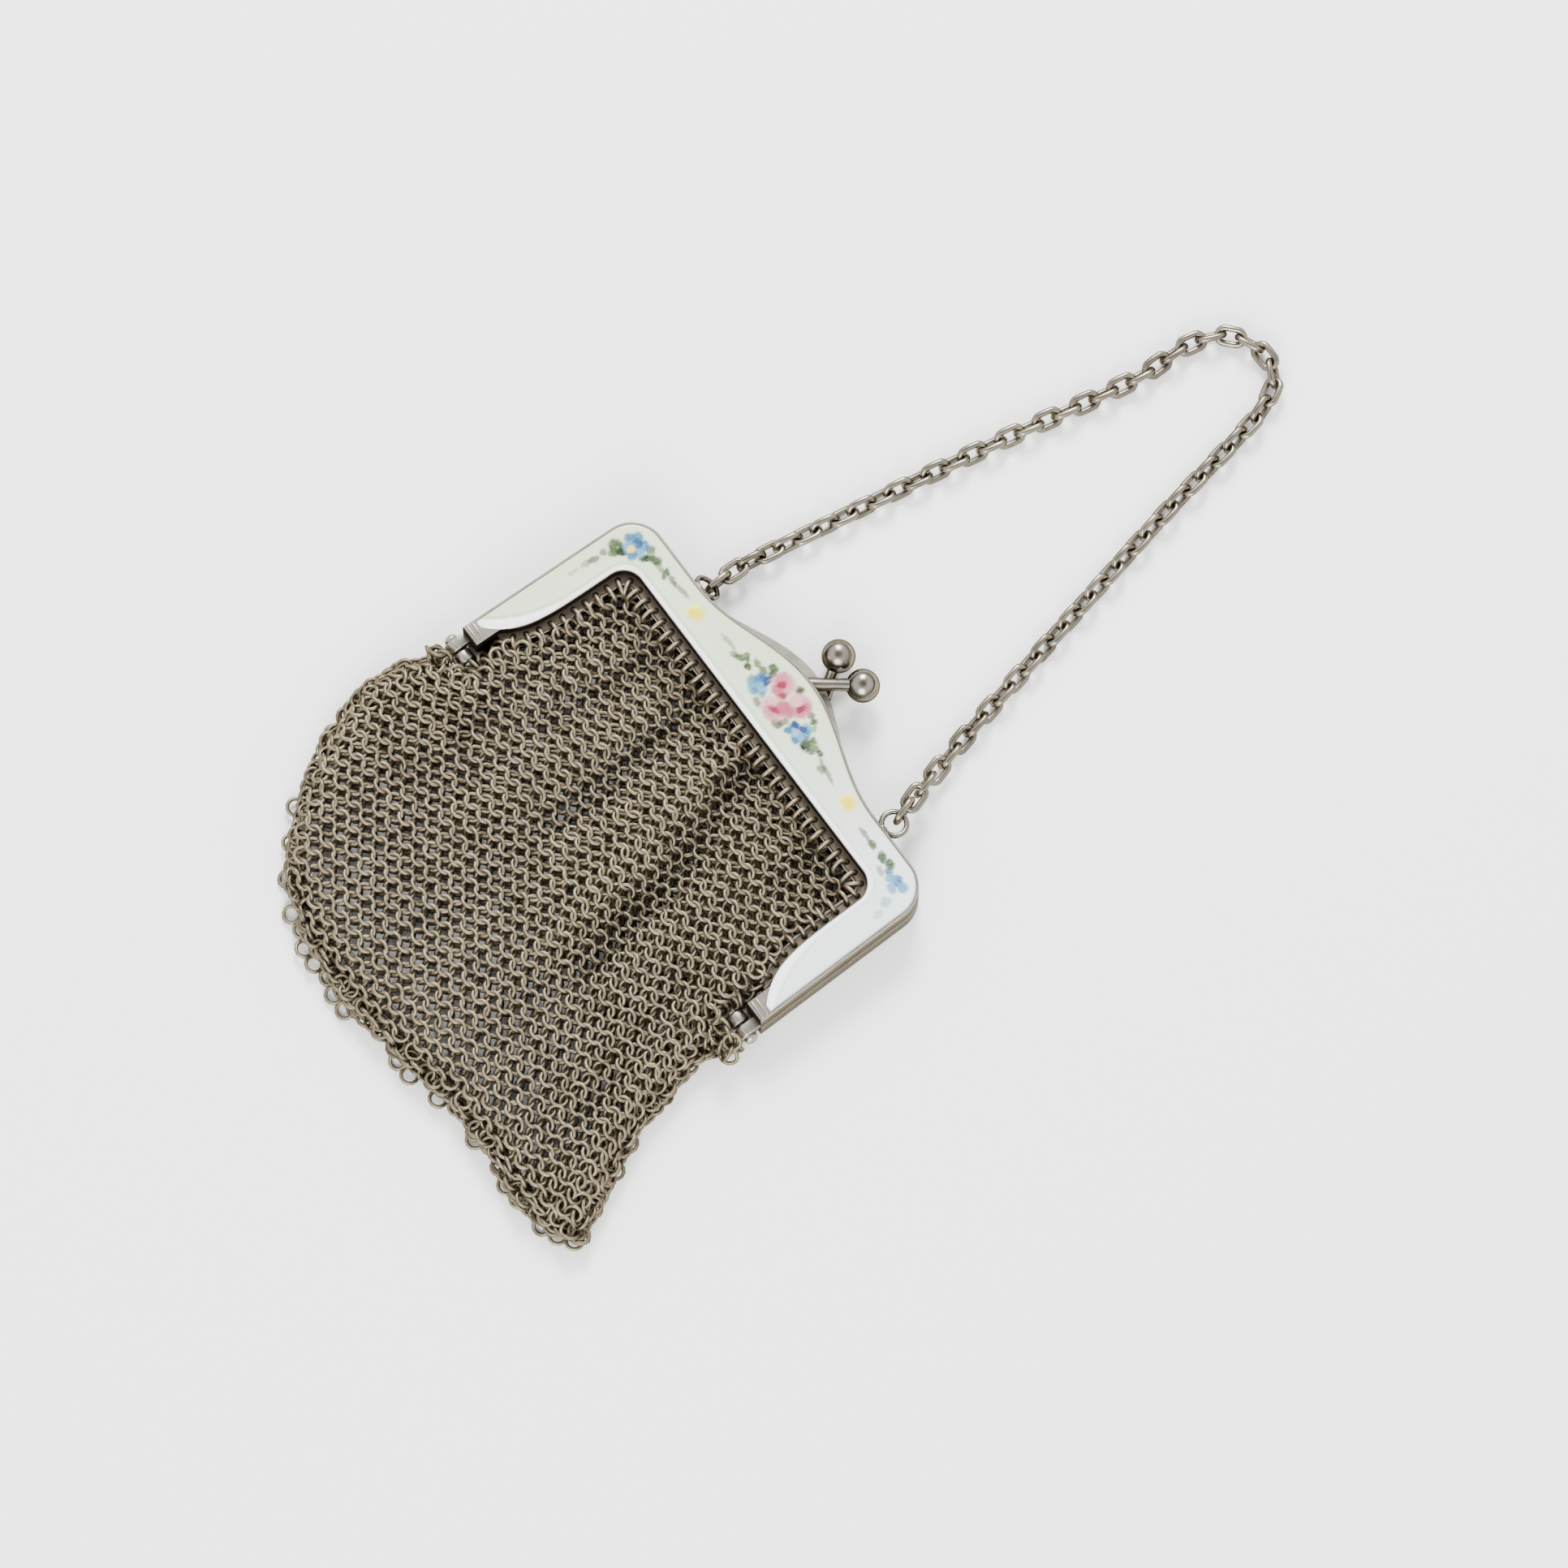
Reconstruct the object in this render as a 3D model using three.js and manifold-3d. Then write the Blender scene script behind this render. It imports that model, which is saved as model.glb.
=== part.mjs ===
// Ring-mesh coin purse with an enamelled snap frame and a wrist chain, lying on its back.
// Millimetres. +X runs along the top rail, +Y from the bag's hem to the chain, +Z up off the surface.
// The origin is on the back plate's outer face, at the middle of the top rail.
import * as THREE from 'three';
import { mergeVertices } from 'three/addons/utils/BufferGeometryUtils.js';
import Module from 'manifold-3d';

// Frame, seen from the front
const FRAME_WIDTH = 70.2; // across the two arms at the shoulders
const ARM_FLARE = 0.6; // how much further out an arm stands at its hinge end
const RAIL_WIDTH = 6.1; // top rail, outer edge to inner edge
const ARM_WIDTH = 5.8; // arm below the shoulder, outer edge to inner edge
const ARM_REACH = 30.6; // from the rail's outer edge down to the end of an arm
const ARM_END_WIDTH = 3.4; // bare metal left beside the hinge
const SHOULDER_RADIUS = 5.2; // outer corner between rail and arm
const CORNER_RADIUS = 3.0; // inner corner between rail and arm
const HUMP_SPAN = 42; // width of the rise in the middle of the rail
const FRONT_HUMP = 4.5; // its height on the front half
const BACK_HUMP = 6.2; // its height on the back half
const BACK_HUMP_SHIFT = -1.5; // how far its peak is set to the left there

// Frame, in section
const HALF_DEPTH = 3.5; // back or front half, outer face to parting line
const PARTING_GAP = 0.3; // between the closed halves
const WALL = 0.8; // side walls of a half
const PLATE = 1.3; // broad face of a half
const FLANGE_WIDTH = 1.5; // pierced strip inside the frame
const FLANGE_THICK = 0.7;
const FLANGE_SETBACK = 1.1; // from the parting line to the strip
const HOLE_DIAMETER = 0.9;
const HOLE_PITCH = 1.9;
const FLANGE_REACH = 27.1; // from the rail's outer edge down to the end of the strip
const CLEARANCE = 0.3; // between pieces that aren't soldered

// Enamel panel
const RIM = 0.35; // silver edge left round the panel
const RECESS_DEPTH = 0.7;
const ENAMEL_RISE = 0.25; // crown of the panel above the rim
const ENAMEL_ROUNDING = 0.9; // width of the panel's rounded edge
const ENAMEL_REACH = 28.6; // from the rail's outer edge down to the panel's tip
const TIP_WIDTH = 1.6; // width of the arm's face at the panel's tip
const TIP_CURVE = 6; // how late the arm narrows to it: a power of the way down

// Hinges, one at the end of each arm
const KNUCKLE_DIAMETER = 2.8;
const KNUCKLE_LENGTH = 1.8;
const KNUCKLE_DROP = 1.9; // hinge axis below the end of the arm
const LUG_THICK = 1.3; // strap that joins a knuckle to its arm
const PIN_DIAMETER = 0.9;
const PIN_HEAD_DIAMETER = 2.0;
const PIN_HEAD_THICK = 0.5;

// Ball clasp
const BALL_DIAMETER = 4.9;
const BALL_SPREAD = 5.8; // between the centres of the two balls
const BALL_OFFSET = 1.2; // middle of the pair, right of the frame's middle
const BALL_RISE = 10.5; // centres above the rail's outer edge
const BALL_STAGGER = 1.2; // one ball lower than the other
const STEM_DIAMETER = 1.6;
const FRONT_STEM_ROOT = -0.3; // where each stem leaves its half, along the rail
const BACK_STEM_ROOT = 1.6;

// Loops that hold the chain, soldered to the front half
const LOOP_DIAMETER = 4.4;
const LOOP_WIRE = 0.8;
const LOOP_SINK = 0.3; // how deep a loop's wire sits in the rail
const LEFT_LOOP_X = -20.6;
const RIGHT_LOOP_X = 23.2;
const LEFT_LOOP_LEAN = -50; // degrees, down towards the surface
const RIGHT_LOOP_LEAN = -8;

// Chain
const LINK_PITCH = 3.0;
const LINK_WIDTH = 3.2;
const LINK_WIRE = 0.8;
const LINK_FUSE = 0.1; // how deep neighbouring links are joined where they touch
const LINK_ROLL = 90; // degrees from lying flat to the first link's plane
const CHAIN_TWIST = 65; // degrees that the chain has turned by its middle
const TWIST_EASE = 0.6; // how early that turn comes: a power of the way to the middle
const SETTLING_LINKS = 4; // links between a loop and the surface
const CHAIN_ROUTE = [
  [-20.7, 11.4],
  [-18.4, 26],
  [-16.4, 38.5],
  [-13.9, 52.5],
  [-11.3, 65.5],
  [-9.9, 74],
  [-9.8, 81],
  [-7.9, 86.6],
  [-3.3, 89.4],
  [1.4, 88.8],
  [4.1, 84.8],
  [5.7, 78.5],
  [8.3, 64.5],
  [11.6, 49.5],
  [15, 34.5],
  [18.1, 21.3],
  [20.4, 13.2],
];

// Mesh bag
const BAG_DROP = 41.4; // from just below the hinges to the lowest point of the hem
const BAG_HEIGHT = 6.5; // front of the bag above the surface, between the folds
const SHEET = 1.05; // one thickness of ring mesh
const FOLD_HEIGHT = 1.2;
const EDGE_ROLL = 5.5; // width of the rounded side and hem
const EDGE_HEIGHT = 1.8; // bag along its sides and hem
const SIDE_SHEETS = 1.9; // thickness along the sides and hem, in sheets
const FOLD_START = 0.12; // share of the bag's length over which the folds fill out
const FOLD_FADE = 0.7; // share of their height that is lost by the hem
const HEM_CURVE = 3; // how late the hem's wave sets in: a power of the way down

// Sides of the bag below the hinges: shares of BAG_DROP down, and of half of FRAME_WIDTH out
const BAG_SIDES = [
  { down: 0, left: 1.0, right: 0.97 },
  { down: 0.03, left: 1.02, right: 0.98 },
  { down: 0.1, left: 1.08, right: 0.98 },
  { down: 0.17, left: 1.1, right: 0.985 },
  { down: 0.29, left: 1.1, right: 1.02 },
  { down: 0.41, left: 1.06, right: 1.055 },
  { down: 0.5, left: 1.025, right: 1.1 },
  { down: 0.6, left: 0.965, right: 1.17 },
  { down: 0.68, left: 0.885, right: 1.22 },
  { down: 0.76, left: 0.81, right: 1.26 },
  { down: 0.84, left: 0.72, right: 1.295 },
];

// Hem between the lowest corners: share of the way across, and drop as a share of BAG_DROP
const BAG_HEM = [
  { across: 0, drop: 0 },
  { across: 0.06, drop: 0.08 },
  { across: 0.18, drop: 0.145 },
  { across: 0.34, drop: 0.16 },
  { across: 0.49, drop: 0.128 },
  { across: 0.61, drop: 0.08 },
  { across: 0.75, drop: 0.085 },
  { across: 0.87, drop: 0.1 },
  { across: 0.97, drop: 0.05 },
  { across: 1, drop: 0.01 },
];

// Valleys between the folds: place along half of FRAME_WIDTH at the mouth and at the hem,
// half-width as a share of it, depth as a share of FOLD_HEIGHT
const FOLD_VALLEYS = [
  { mouth: -0.74, hem: -0.6, wide: 0.06, deep: 0.8 },
  { mouth: -0.52, hem: -0.5, wide: 0.07, deep: 1 },
  { mouth: -0.33, hem: -0.3, wide: 0.05, deep: 0.6 },
  { mouth: -0.15, hem: -0.1, wide: 0.07, deep: 1 },
  { mouth: 0.12, hem: 0.22, wide: 0.05, deep: 0.5 },
  { mouth: 0.3, hem: 0.42, wide: 0.08, deep: 1 },
  { mouth: 0.48, hem: 0.72, wide: 0.06, deep: 0.7 },
];

const COLOURS = {
  silver: { color: 0xb9b4a6, roughness: 0.3, metalness: 1 },
  enamel: { color: 0xdfe6dc, roughness: 0.12, metalness: 0 },
  tarnished: { color: 0x8f8878, roughness: 0.42, metalness: 1 },
  chain: { color: 0xa39c8c, roughness: 0.33, metalness: 1 },
};

// Places worked out from the sizes
const HALF_WIDTH = FRAME_WIDTH / 2;
const RAIL_TOP = RAIL_WIDTH / 2;
const RAIL_BOTTOM = -RAIL_WIDTH / 2;
const ARM_END = RAIL_TOP - ARM_REACH;
const ENAMEL_TIP = RAIL_TOP - ENAMEL_REACH;
const FRONT_BASE = HALF_DEPTH + PARTING_GAP;
const FRONT_FACE = FRONT_BASE + HALF_DEPTH;
const FLANGE_END = RAIL_TOP - FLANGE_REACH;
const HINGE_Z = HALF_DEPTH + PARTING_GAP / 2;
const HINGE_Y = ARM_END - KNUCKLE_DROP;
const SKIRT_TOP = HINGE_Y - KNUCKLE_DIAMETER / 2 - CLEARANCE; // where the bag spreads below the hinges
const MESH_INSET = FLANGE_WIDTH + CLEARANCE; // from the frame's inner edge to the mesh
const MOUTH_TOP = RAIL_BOTTOM - MESH_INSET;

// Fineness of the round parts
const HUMP_STEPS = 12;
const SHOULDER_STEPS = 4;
const CORNER_STEPS = 3;
const ARM_STEPS = 5;
const HOLE_SIDES = 5;
const KNUCKLE_SIDES = 12;
const PIN_SIDES = 8;
const STEM_SIDES = 8;
const STEM_STEPS = 3;
const BALL_SIDES = 12;
const BALL_ROWS = 8;
const LOOP_SIDES = 5;
const LOOP_STEPS = 12;
const LINK_SIDES = 5;
const LINK_STEPS = 10;
const ROUTE_DIVISIONS = 20; // pieces in which each stretch of the route is measured
const SKIRT_STEPS = 8;
const SKIRT_CLOSING = 1.4; // rows stand closer towards the hem: a power of the way back up
const BAG_COLUMNS = 22;
const SIDE_CLOSING = 1.3; // columns stand closer towards the sides: a power of the way in
const MERGE = 1e-4; // corners closer than this are one

const wasm = await Module();
wasm.setup();

/** A closed geometry as a solid that can be cut and joined. */
function solid(geometry) {
  const bare = geometry.clone();
  bare.deleteAttribute('normal');
  bare.deleteAttribute('uv');
  const merged = mergeVertices(bare, MERGE);
  const vertProperties = new Float32Array(merged.attributes.position.array);
  const triVerts = new Uint32Array(merged.index.array);
  return new wasm.Manifold(new wasm.Mesh({ numProp: 3, vertProperties, triVerts }));
}

/** A solid as a geometry. */
function geometryOf(body) {
  const mesh = body.getMesh();
  const geometry = new THREE.BufferGeometry();
  geometry.setAttribute('position', new THREE.BufferAttribute(mesh.vertProperties, 3));
  geometry.setIndex(new THREE.BufferAttribute(mesh.triVerts, 1));
  geometry.computeVertexNormals();
  return geometry;
}

/** A plan outline raised from one height to another. */
function raised(points, low, high, holes = []) {
  const shape = new THREE.Shape(points);
  shape.holes = holes.map((hole) => new THREE.Path(hole));
  const geometry = new THREE.ExtrudeGeometry(shape, { depth: high - low, bevelEnabled: false });
  return geometry.translate(0, 0, low);
}

/** Points on an arc about a centre, both ends included. */
function arc(x, y, radius, from, to, steps) {
  return Array.from({ length: steps + 1 }, (_, i) => {
    const angle = THREE.MathUtils.degToRad(from + ((to - from) * i) / steps);
    return new THREE.Vector2(x + radius * Math.cos(angle), y + radius * Math.sin(angle));
  });
}

/** Corners of a round outline. */
const around = (x, y, diameter, sides) => arc(x, y, diameter / 2, 0, 360 - 360 / sides, sides - 1);

const mirrored = (points) => points.map((p) => new THREE.Vector2(-p.x, p.y)).reverse();

/** Outer edge of an arm at a height y. */
const armOutside = (y) => HALF_WIDTH + (ARM_FLARE * (RAIL_TOP - y)) / ARM_REACH;

/** Inner edge of an arm at a height y: it curves out towards the enamel's tip. */
function armInside(y, endWidth) {
  const way = Math.max(0, (RAIL_BOTTOM - y) / (RAIL_BOTTOM - ENAMEL_TIP));
  const width = ARM_WIDTH - (ARM_WIDTH - TIP_WIDTH) * way ** TIP_CURVE;
  return armOutside(y) - Math.max(width, endWidth);
}

/** Height of the rail's outer edge at x, with the hump's raised cosine. */
function railEdge(x, hump) {
  const way = THREE.MathUtils.clamp((x - hump.shift) / (HUMP_SPAN / 2), -1, 1);
  return RAIL_TOP + (hump.height / 2) * (1 + Math.cos(Math.PI * way));
}

/** Outer edge of a half, from the left arm's end over the hump to the right arm's end. */
function outerEdge(hump, inset, end) {
  const radius = SHOULDER_RADIUS - inset;
  const centre = new THREE.Vector2(HALF_WIDTH - SHOULDER_RADIUS, RAIL_TOP - SHOULDER_RADIUS);
  const side = [
    ...arc(centre.x, centre.y, radius, 90, 0, SHOULDER_STEPS),
    new THREE.Vector2(armOutside(end) - inset, end),
  ];
  const rise = Array.from({ length: HUMP_STEPS + 1 }, (_, i) => {
    const x = hump.shift + HUMP_SPAN * (i / HUMP_STEPS - 0.5);
    return new THREE.Vector2(x, railEdge(x, hump) - inset);
  });
  return [...mirrored(side), ...rise, ...side];
}

/** Heights at which an arm's inner edge is drawn, from its end up to the corner, closest at the tip. */
function armLevels(end) {
  const corner = RAIL_BOTTOM - CORNER_RADIUS;
  const levels = Array.from({ length: ARM_STEPS }, (_, i) => {
    return corner + (ENAMEL_TIP - corner) * Math.sqrt(1 - i / ARM_STEPS);
  });
  return [end, ...levels.filter((y) => y > end)];
}

/** Inner edge of a half, from the right arm up, along the rail and down the left arm. */
function innerEdge(outset, end, endWidth) {
  const y = RAIL_BOTTOM - CORNER_RADIUS;
  const x = armInside(y, endWidth) - CORNER_RADIUS;
  const right = armLevels(end).map((low) => new THREE.Vector2(armInside(low, endWidth) + outset, low));
  right.push(...arc(x, y, CORNER_RADIUS + outset, 0, 90, CORNER_STEPS));
  return [...right, ...mirrored(right)];
}

/** The broad band of a half as one closed outline. */
function band(hump, outerInset, innerOutset, end, endWidth) {
  return [...outerEdge(hump, outerInset, end), ...innerEdge(innerOutset, end, endWidth)];
}

/** Centres of the holes along the pierced strip, evenly spaced. */
function holeCentres() {
  const line = new THREE.CurvePath();
  const points = innerEdge(-FLANGE_WIDTH / 2, FLANGE_END, ARM_END_WIDTH);
  points.slice(1).forEach((p, i) => line.add(new THREE.LineCurve(points[i], p)));
  const count = Math.floor(line.getLength() / HOLE_PITCH);
  return line.getSpacedPoints(count).slice(1, -1);
}

/** The pierced strip, from the frame's inner wall inwards. */
function flange(low) {
  const outline = [
    ...innerEdge(-FLANGE_WIDTH, FLANGE_END, ARM_END_WIDTH),
    ...innerEdge(WALL / 2, FLANGE_END, ARM_END_WIDTH).reverse(),
  ];
  const holes = holeCentres().map((centre) => around(centre.x, centre.y, HOLE_DIAMETER, HOLE_SIDES));
  return solid(raised(outline, low, low + FLANGE_THICK, holes));
}

/** One half with its hollow back open at the parting line, as if the parting line were at z = 0. */
function halfShell(hump) {
  const body = solid(raised(band(hump, 0, 0, ARM_END, ARM_END_WIDTH), 0, HALF_DEPTH));
  const channelEnd = ARM_END + WALL;
  const channelWidth = ARM_END_WIDTH;
  const channel = solid(
    raised(band(hump, WALL, WALL, channelEnd, channelWidth), -PARTING_GAP, HALF_DEPTH - PLATE),
  );
  return body.subtract(channel).add(flange(FLANGE_SETBACK));
}

/** Stem of a clasp ball, along a smooth curve through points. */
function stem(points) {
  const section = new THREE.Shape(around(0, 0, STEM_DIAMETER, STEM_SIDES));
  const path = { steps: STEM_STEPS, extrudePath: new THREE.CatmullRomCurve3(points) };
  return solid(new THREE.ExtrudeGeometry(section, { ...path, bevelEnabled: false }));
}

/** A clasp ball and the stem that carries it. */
function claspBall(root, ball) {
  const bend = root.clone().lerp(ball, 0.5);
  bend.z = root.z;
  const sphere = new THREE.SphereGeometry(BALL_DIAMETER / 2, BALL_SIDES, BALL_ROWS);
  return stem([root, bend, ball]).add(solid(sphere.translate(ball.x, ball.y, ball.z)));
}

/** Turning axis and clearances of a hinge: a cylinder along X on the hinge line. */
function alongHinge(diameter, from, to, sides) {
  const geometry = new THREE.CylinderGeometry(diameter / 2, diameter / 2, to - from, sides);
  geometry.rotateZ(Math.PI / 2);
  return solid(geometry.translate((from + to) / 2, HINGE_Y, HINGE_Z));
}

const KNUCKLE_OUTSIDE = armOutside(ARM_END);
const KNUCKLE_MIDDLE = KNUCKLE_OUTSIDE - KNUCKLE_LENGTH - CLEARANCE / 2;
const KNUCKLE_INSIDE = KNUCKLE_OUTSIDE - 2 * KNUCKLE_LENGTH - CLEARANCE;

/** Knuckle and lug on one arm; the lug lies on the side of the half that carries it. */
function knuckle(from, to, side) {
  const barrel = alongHinge(KNUCKLE_DIAMETER, from, to, KNUCKLE_SIDES);
  const base = HINGE_Z + side * (PARTING_GAP / 2);
  const box = new THREE.BoxGeometry(to - from, KNUCKLE_DROP + WALL / 2, LUG_THICK);
  box.translate((from + to) / 2, HINGE_Y + (KNUCKLE_DROP + WALL / 2) / 2, base + (side * LUG_THICK) / 2);
  return barrel.add(solid(box));
}

/** Adds both knuckles of a half and bores them for the pins. */
function withKnuckles(half, from, to, side) {
  const bore = alongHinge(PIN_DIAMETER + 2 * CLEARANCE, from - WALL, to + WALL, PIN_SIDES);
  const right = knuckle(from, to, side).subtract(bore);
  return half.add(right).add(right.mirror([1, 0, 0]));
}

/** Loop for the chain, its foot soldered into the rail's outer wall. */
function loopCentre(x, lean) {
  const radius = (LOOP_DIAMETER - LOOP_WIRE) / 2;
  const angle = THREE.MathUtils.degToRad(lean);
  const footY = RAIL_TOP + LOOP_WIRE / 2 - LOOP_SINK;
  const foot = new THREE.Vector3(x, footY, FRONT_BASE + HALF_DEPTH / 2);
  return foot.add(new THREE.Vector3(0, radius * Math.cos(angle), radius * Math.sin(angle)));
}

function chainLoop(x, lean) {
  const radius = (LOOP_DIAMETER - LOOP_WIRE) / 2;
  const ring = new THREE.TorusGeometry(radius, LOOP_WIRE / 2, LOOP_SIDES, LOOP_STEPS);
  ring.rotateX(THREE.MathUtils.degToRad(lean));
  const centre = loopCentre(x, lean);
  return solid(ring.translate(centre.x, centre.y, centre.z));
}

const ballAt = (side) =>
  new THREE.Vector3(
    BALL_OFFSET + (side * BALL_SPREAD) / 2,
    RAIL_TOP + BALL_RISE,
    HINGE_Z + (side * BALL_STAGGER) / 2,
  );

function frontFrame() {
  const hump = { height: FRONT_HUMP, shift: 0 };
  const recessOutline = band(hump, RIM, RIM, ENAMEL_TIP, 0);
  const recess = solid(raised(recessOutline, HALF_DEPTH - RECESS_DEPTH, HALF_DEPTH + RECESS_DEPTH));
  const shell = halfShell(hump).subtract(recess).translate([0, 0, FRONT_BASE]);
  const rootY = railEdge(FRONT_STEM_ROOT, hump) - WALL / 2;
  const root = new THREE.Vector3(FRONT_STEM_ROOT, rootY, FRONT_BASE + HALF_DEPTH / 2);
  return withKnuckles(shell, KNUCKLE_MIDDLE + CLEARANCE / 2, KNUCKLE_OUTSIDE, 1)
    .add(claspBall(root, ballAt(1)))
    .add(chainLoop(LEFT_LOOP_X, LEFT_LOOP_LEAN))
    .add(chainLoop(RIGHT_LOOP_X, RIGHT_LOOP_LEAN));
}

function backFrame() {
  const hump = { height: BACK_HUMP, shift: BACK_HUMP_SHIFT };
  const shell = halfShell(hump).mirror([0, 0, 1]).translate([0, 0, HALF_DEPTH]);
  const rootY = railEdge(BACK_STEM_ROOT, hump) - WALL / 2;
  const root = new THREE.Vector3(BACK_STEM_ROOT, rootY, HALF_DEPTH / 2);
  return withKnuckles(shell, KNUCKLE_INSIDE, KNUCKLE_MIDDLE - CLEARANCE / 2, -1)
    .add(claspBall(root, ballAt(-1)));
}

/** Enamel panel with a stepped crown, in the recess of the front half. */
function enamelPanel() {
  const hump = { height: FRONT_HUMP, shift: 0 };
  const edge = RIM + CLEARANCE;
  const outline = band(hump, edge, edge, ENAMEL_TIP + CLEARANCE, 0);
  const inner = edge + ENAMEL_ROUNDING;
  const crownEnd = ENAMEL_TIP + CLEARANCE + ENAMEL_ROUNDING;
  const crownOutline = band(hump, inner, inner, crownEnd, 2 * inner + RIM);
  const top = RECESS_DEPTH + ENAMEL_RISE;
  const crown = solid(raised(crownOutline, 0, top)).intersect(solid(raised(outline, 0, top)));
  const foot = solid(raised(outline, 0, RECESS_DEPTH - ENAMEL_RISE / 2));
  return foot.add(crown).translate([0, 0, FRONT_FACE - RECESS_DEPTH]);
}

/** Riveted pin: a shaft through both knuckles with a head at each end. */
function hingePin() {
  const inside = KNUCKLE_INSIDE - CLEARANCE;
  const outside = KNUCKLE_OUTSIDE + CLEARANCE;
  return alongHinge(PIN_DIAMETER, inside - PIN_HEAD_THICK / 2, outside + PIN_HEAD_THICK / 2, PIN_SIDES)
    .add(alongHinge(PIN_HEAD_DIAMETER, inside - PIN_HEAD_THICK, inside, PIN_SIDES))
    .add(alongHinge(PIN_HEAD_DIAMETER, outside, outside + PIN_HEAD_THICK, PIN_SIDES));
}

/** Middle of the end link's near end: it pulls on its loop towards the next point of the route. */
function chainEnd(x, lean, next) {
  const centre = loopCentre(x, lean);
  const radius = (LOOP_DIAMETER - LOOP_WIRE) / 2;
  const pull = new THREE.Vector3(next[0] - centre.x, next[1] - centre.y, 0).setLength(radius);
  pull.applyAxisAngle(new THREE.Vector3(1, 0, 0), THREE.MathUtils.degToRad(lean));
  const held = centre.add(pull);
  const away = new THREE.Vector3(next[0] - held.x, next[1] - held.y, 0);
  away.setLength(SETTLING_LINKS * LINK_PITCH).setZ(LINK_WIDTH / 2 - held.z);
  return held.sub(away.setLength(LOOP_WIRE / 2 + CLEARANCE + LINK_FUSE / 2));
}

/** Turn of the chain about itself at a link, least at the two loops. */
function linkRoll(i, count) {
  const way = Math.sin((Math.PI * Math.min(i, count - 1)) / (count - 1)) ** TWIST_EASE;
  return THREE.MathUtils.degToRad(LINK_ROLL - CHAIN_TWIST * way);
}

/** Height of the chain's middle where it lies on the surface, for links turned so far. */
function restHeight(roll) {
  const half = (LINK_WIDTH - LINK_WIRE) / 2;
  const steepest = Math.max(Math.abs(Math.cos(roll)), Math.abs(Math.sin(roll)));
  return (LINK_WIRE + LINK_FUSE) / 2 + half * steepest;
}

/** The wrist chain: interlocked links joined where they touch. */
function wristChain() {
  const lying = CHAIN_ROUTE.map(([x, y]) => new THREE.Vector3(x, y, LINK_WIDTH / 2));
  const ends = [
    chainEnd(LEFT_LOOP_X, LEFT_LOOP_LEAN, CHAIN_ROUTE[0]),
    chainEnd(RIGHT_LOOP_X, RIGHT_LOOP_LEAN, CHAIN_ROUTE[CHAIN_ROUTE.length - 1]),
  ];
  const route = new THREE.CatmullRomCurve3([ends[0], ...lying, ends[1]]);
  route.arcLengthDivisions = ROUTE_DIVISIONS * CHAIN_ROUTE.length;
  const pairs = Math.round((route.getLength() / LINK_PITCH - 1) / 2);
  const count = 2 * pairs + 1; // odd, so that both end links stand alike in their loops
  const joints = route.getSpacedPoints(count);
  joints.forEach((joint, i) => {
    const lift = Math.max(0, 1 - Math.min(i, count - i) / SETTLING_LINKS);
    const end = ends[i < count / 2 ? 0 : 1];
    joint.z = THREE.MathUtils.lerp(restHeight(linkRoll(i, count)), end.z, lift);
  });
  const radius = (LINK_WIDTH - LINK_WIRE) / 2;
  const links = joints.slice(1).map((next, i) => {
    const along = next.clone().sub(joints[i]);
    const half = Math.PI / LINK_STEPS;
    const stretch = (along.length() - LINK_FUSE) / 2 - (radius - LINK_WIRE / 2) * Math.cos(half);
    const link = new THREE.TorusGeometry(radius, -LINK_WIRE / 2, LINK_SIDES, LINK_STEPS).rotateZ(half);
    const position = link.attributes.position;
    for (let v = 0; v < position.count; v += 1) {
      const x = position.getX(v);
      position.setX(v, x + THREE.MathUtils.clamp(x / radius / half, -1, 1) * stretch);
    }
    along.normalize();
    const side = new THREE.Vector3().crossVectors(new THREE.Vector3(0, 0, 1), along).normalize();
    const up = new THREE.Vector3().crossVectors(along, side);
    const frame = new THREE.Matrix4().makeBasis(along, side, up);
    link.rotateX(linkRoll(i, count) + (i * Math.PI) / 2);
    link.applyMatrix4(frame.setPosition(joints[i].clone().add(next).multiplyScalar(0.5)));
    return solid(link);
  });
  return links.reduce((chain, link) => chain.add(link));
}

/** Value of a table's column at a place between its rows. */
function between(rows, key, place, column) {
  const upper = Math.max(1, rows.findIndex((row) => row[key] >= place));
  const [a, b] = [rows[upper - 1], rows[upper]];
  const share = THREE.MathUtils.clamp((place - a[key]) / (b[key] - a[key]), 0, 1);
  return THREE.MathUtils.lerp(a[column], b[column], share);
}

const SKIRT_DOWN = BAG_SIDES[BAG_SIDES.length - 1].down;

/** Sections of the bag from the mouth to the hem: each has a height, two edges and a share of the hem. */
function bagSections() {
  const corner = CORNER_RADIUS - FLANGE_WIDTH;
  const levels = [SKIRT_TOP, ...armLevels(ARM_END), MOUTH_TOP - corner, MOUTH_TOP].reverse();
  const mouth = levels.map((y) => {
    const half = armInside(y, ARM_END_WIDTH) - MESH_INSET - Math.max(0, y - MOUTH_TOP + corner);
    return { y, left: -half, right: half, hem: 0, roll: 0 };
  });
  const downs = [BAG_SIDES[1].down];
  for (let i = 1; i <= SKIRT_STEPS; i += 1) {
    downs.push(SKIRT_DOWN * (1 - (1 - i / SKIRT_STEPS) ** SKIRT_CLOSING));
  }
  const skirt = downs.map((down) => ({
    y: SKIRT_TOP - BAG_DROP * down,
    left: -HALF_WIDTH * between(BAG_SIDES, 'down', down, 'left'),
    right: HALF_WIDTH * between(BAG_SIDES, 'down', down, 'right'),
    hem: (down / SKIRT_DOWN) ** HEM_CURVE,
    roll: 1,
  }));
  return [...mouth, ...skirt];
}

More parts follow.
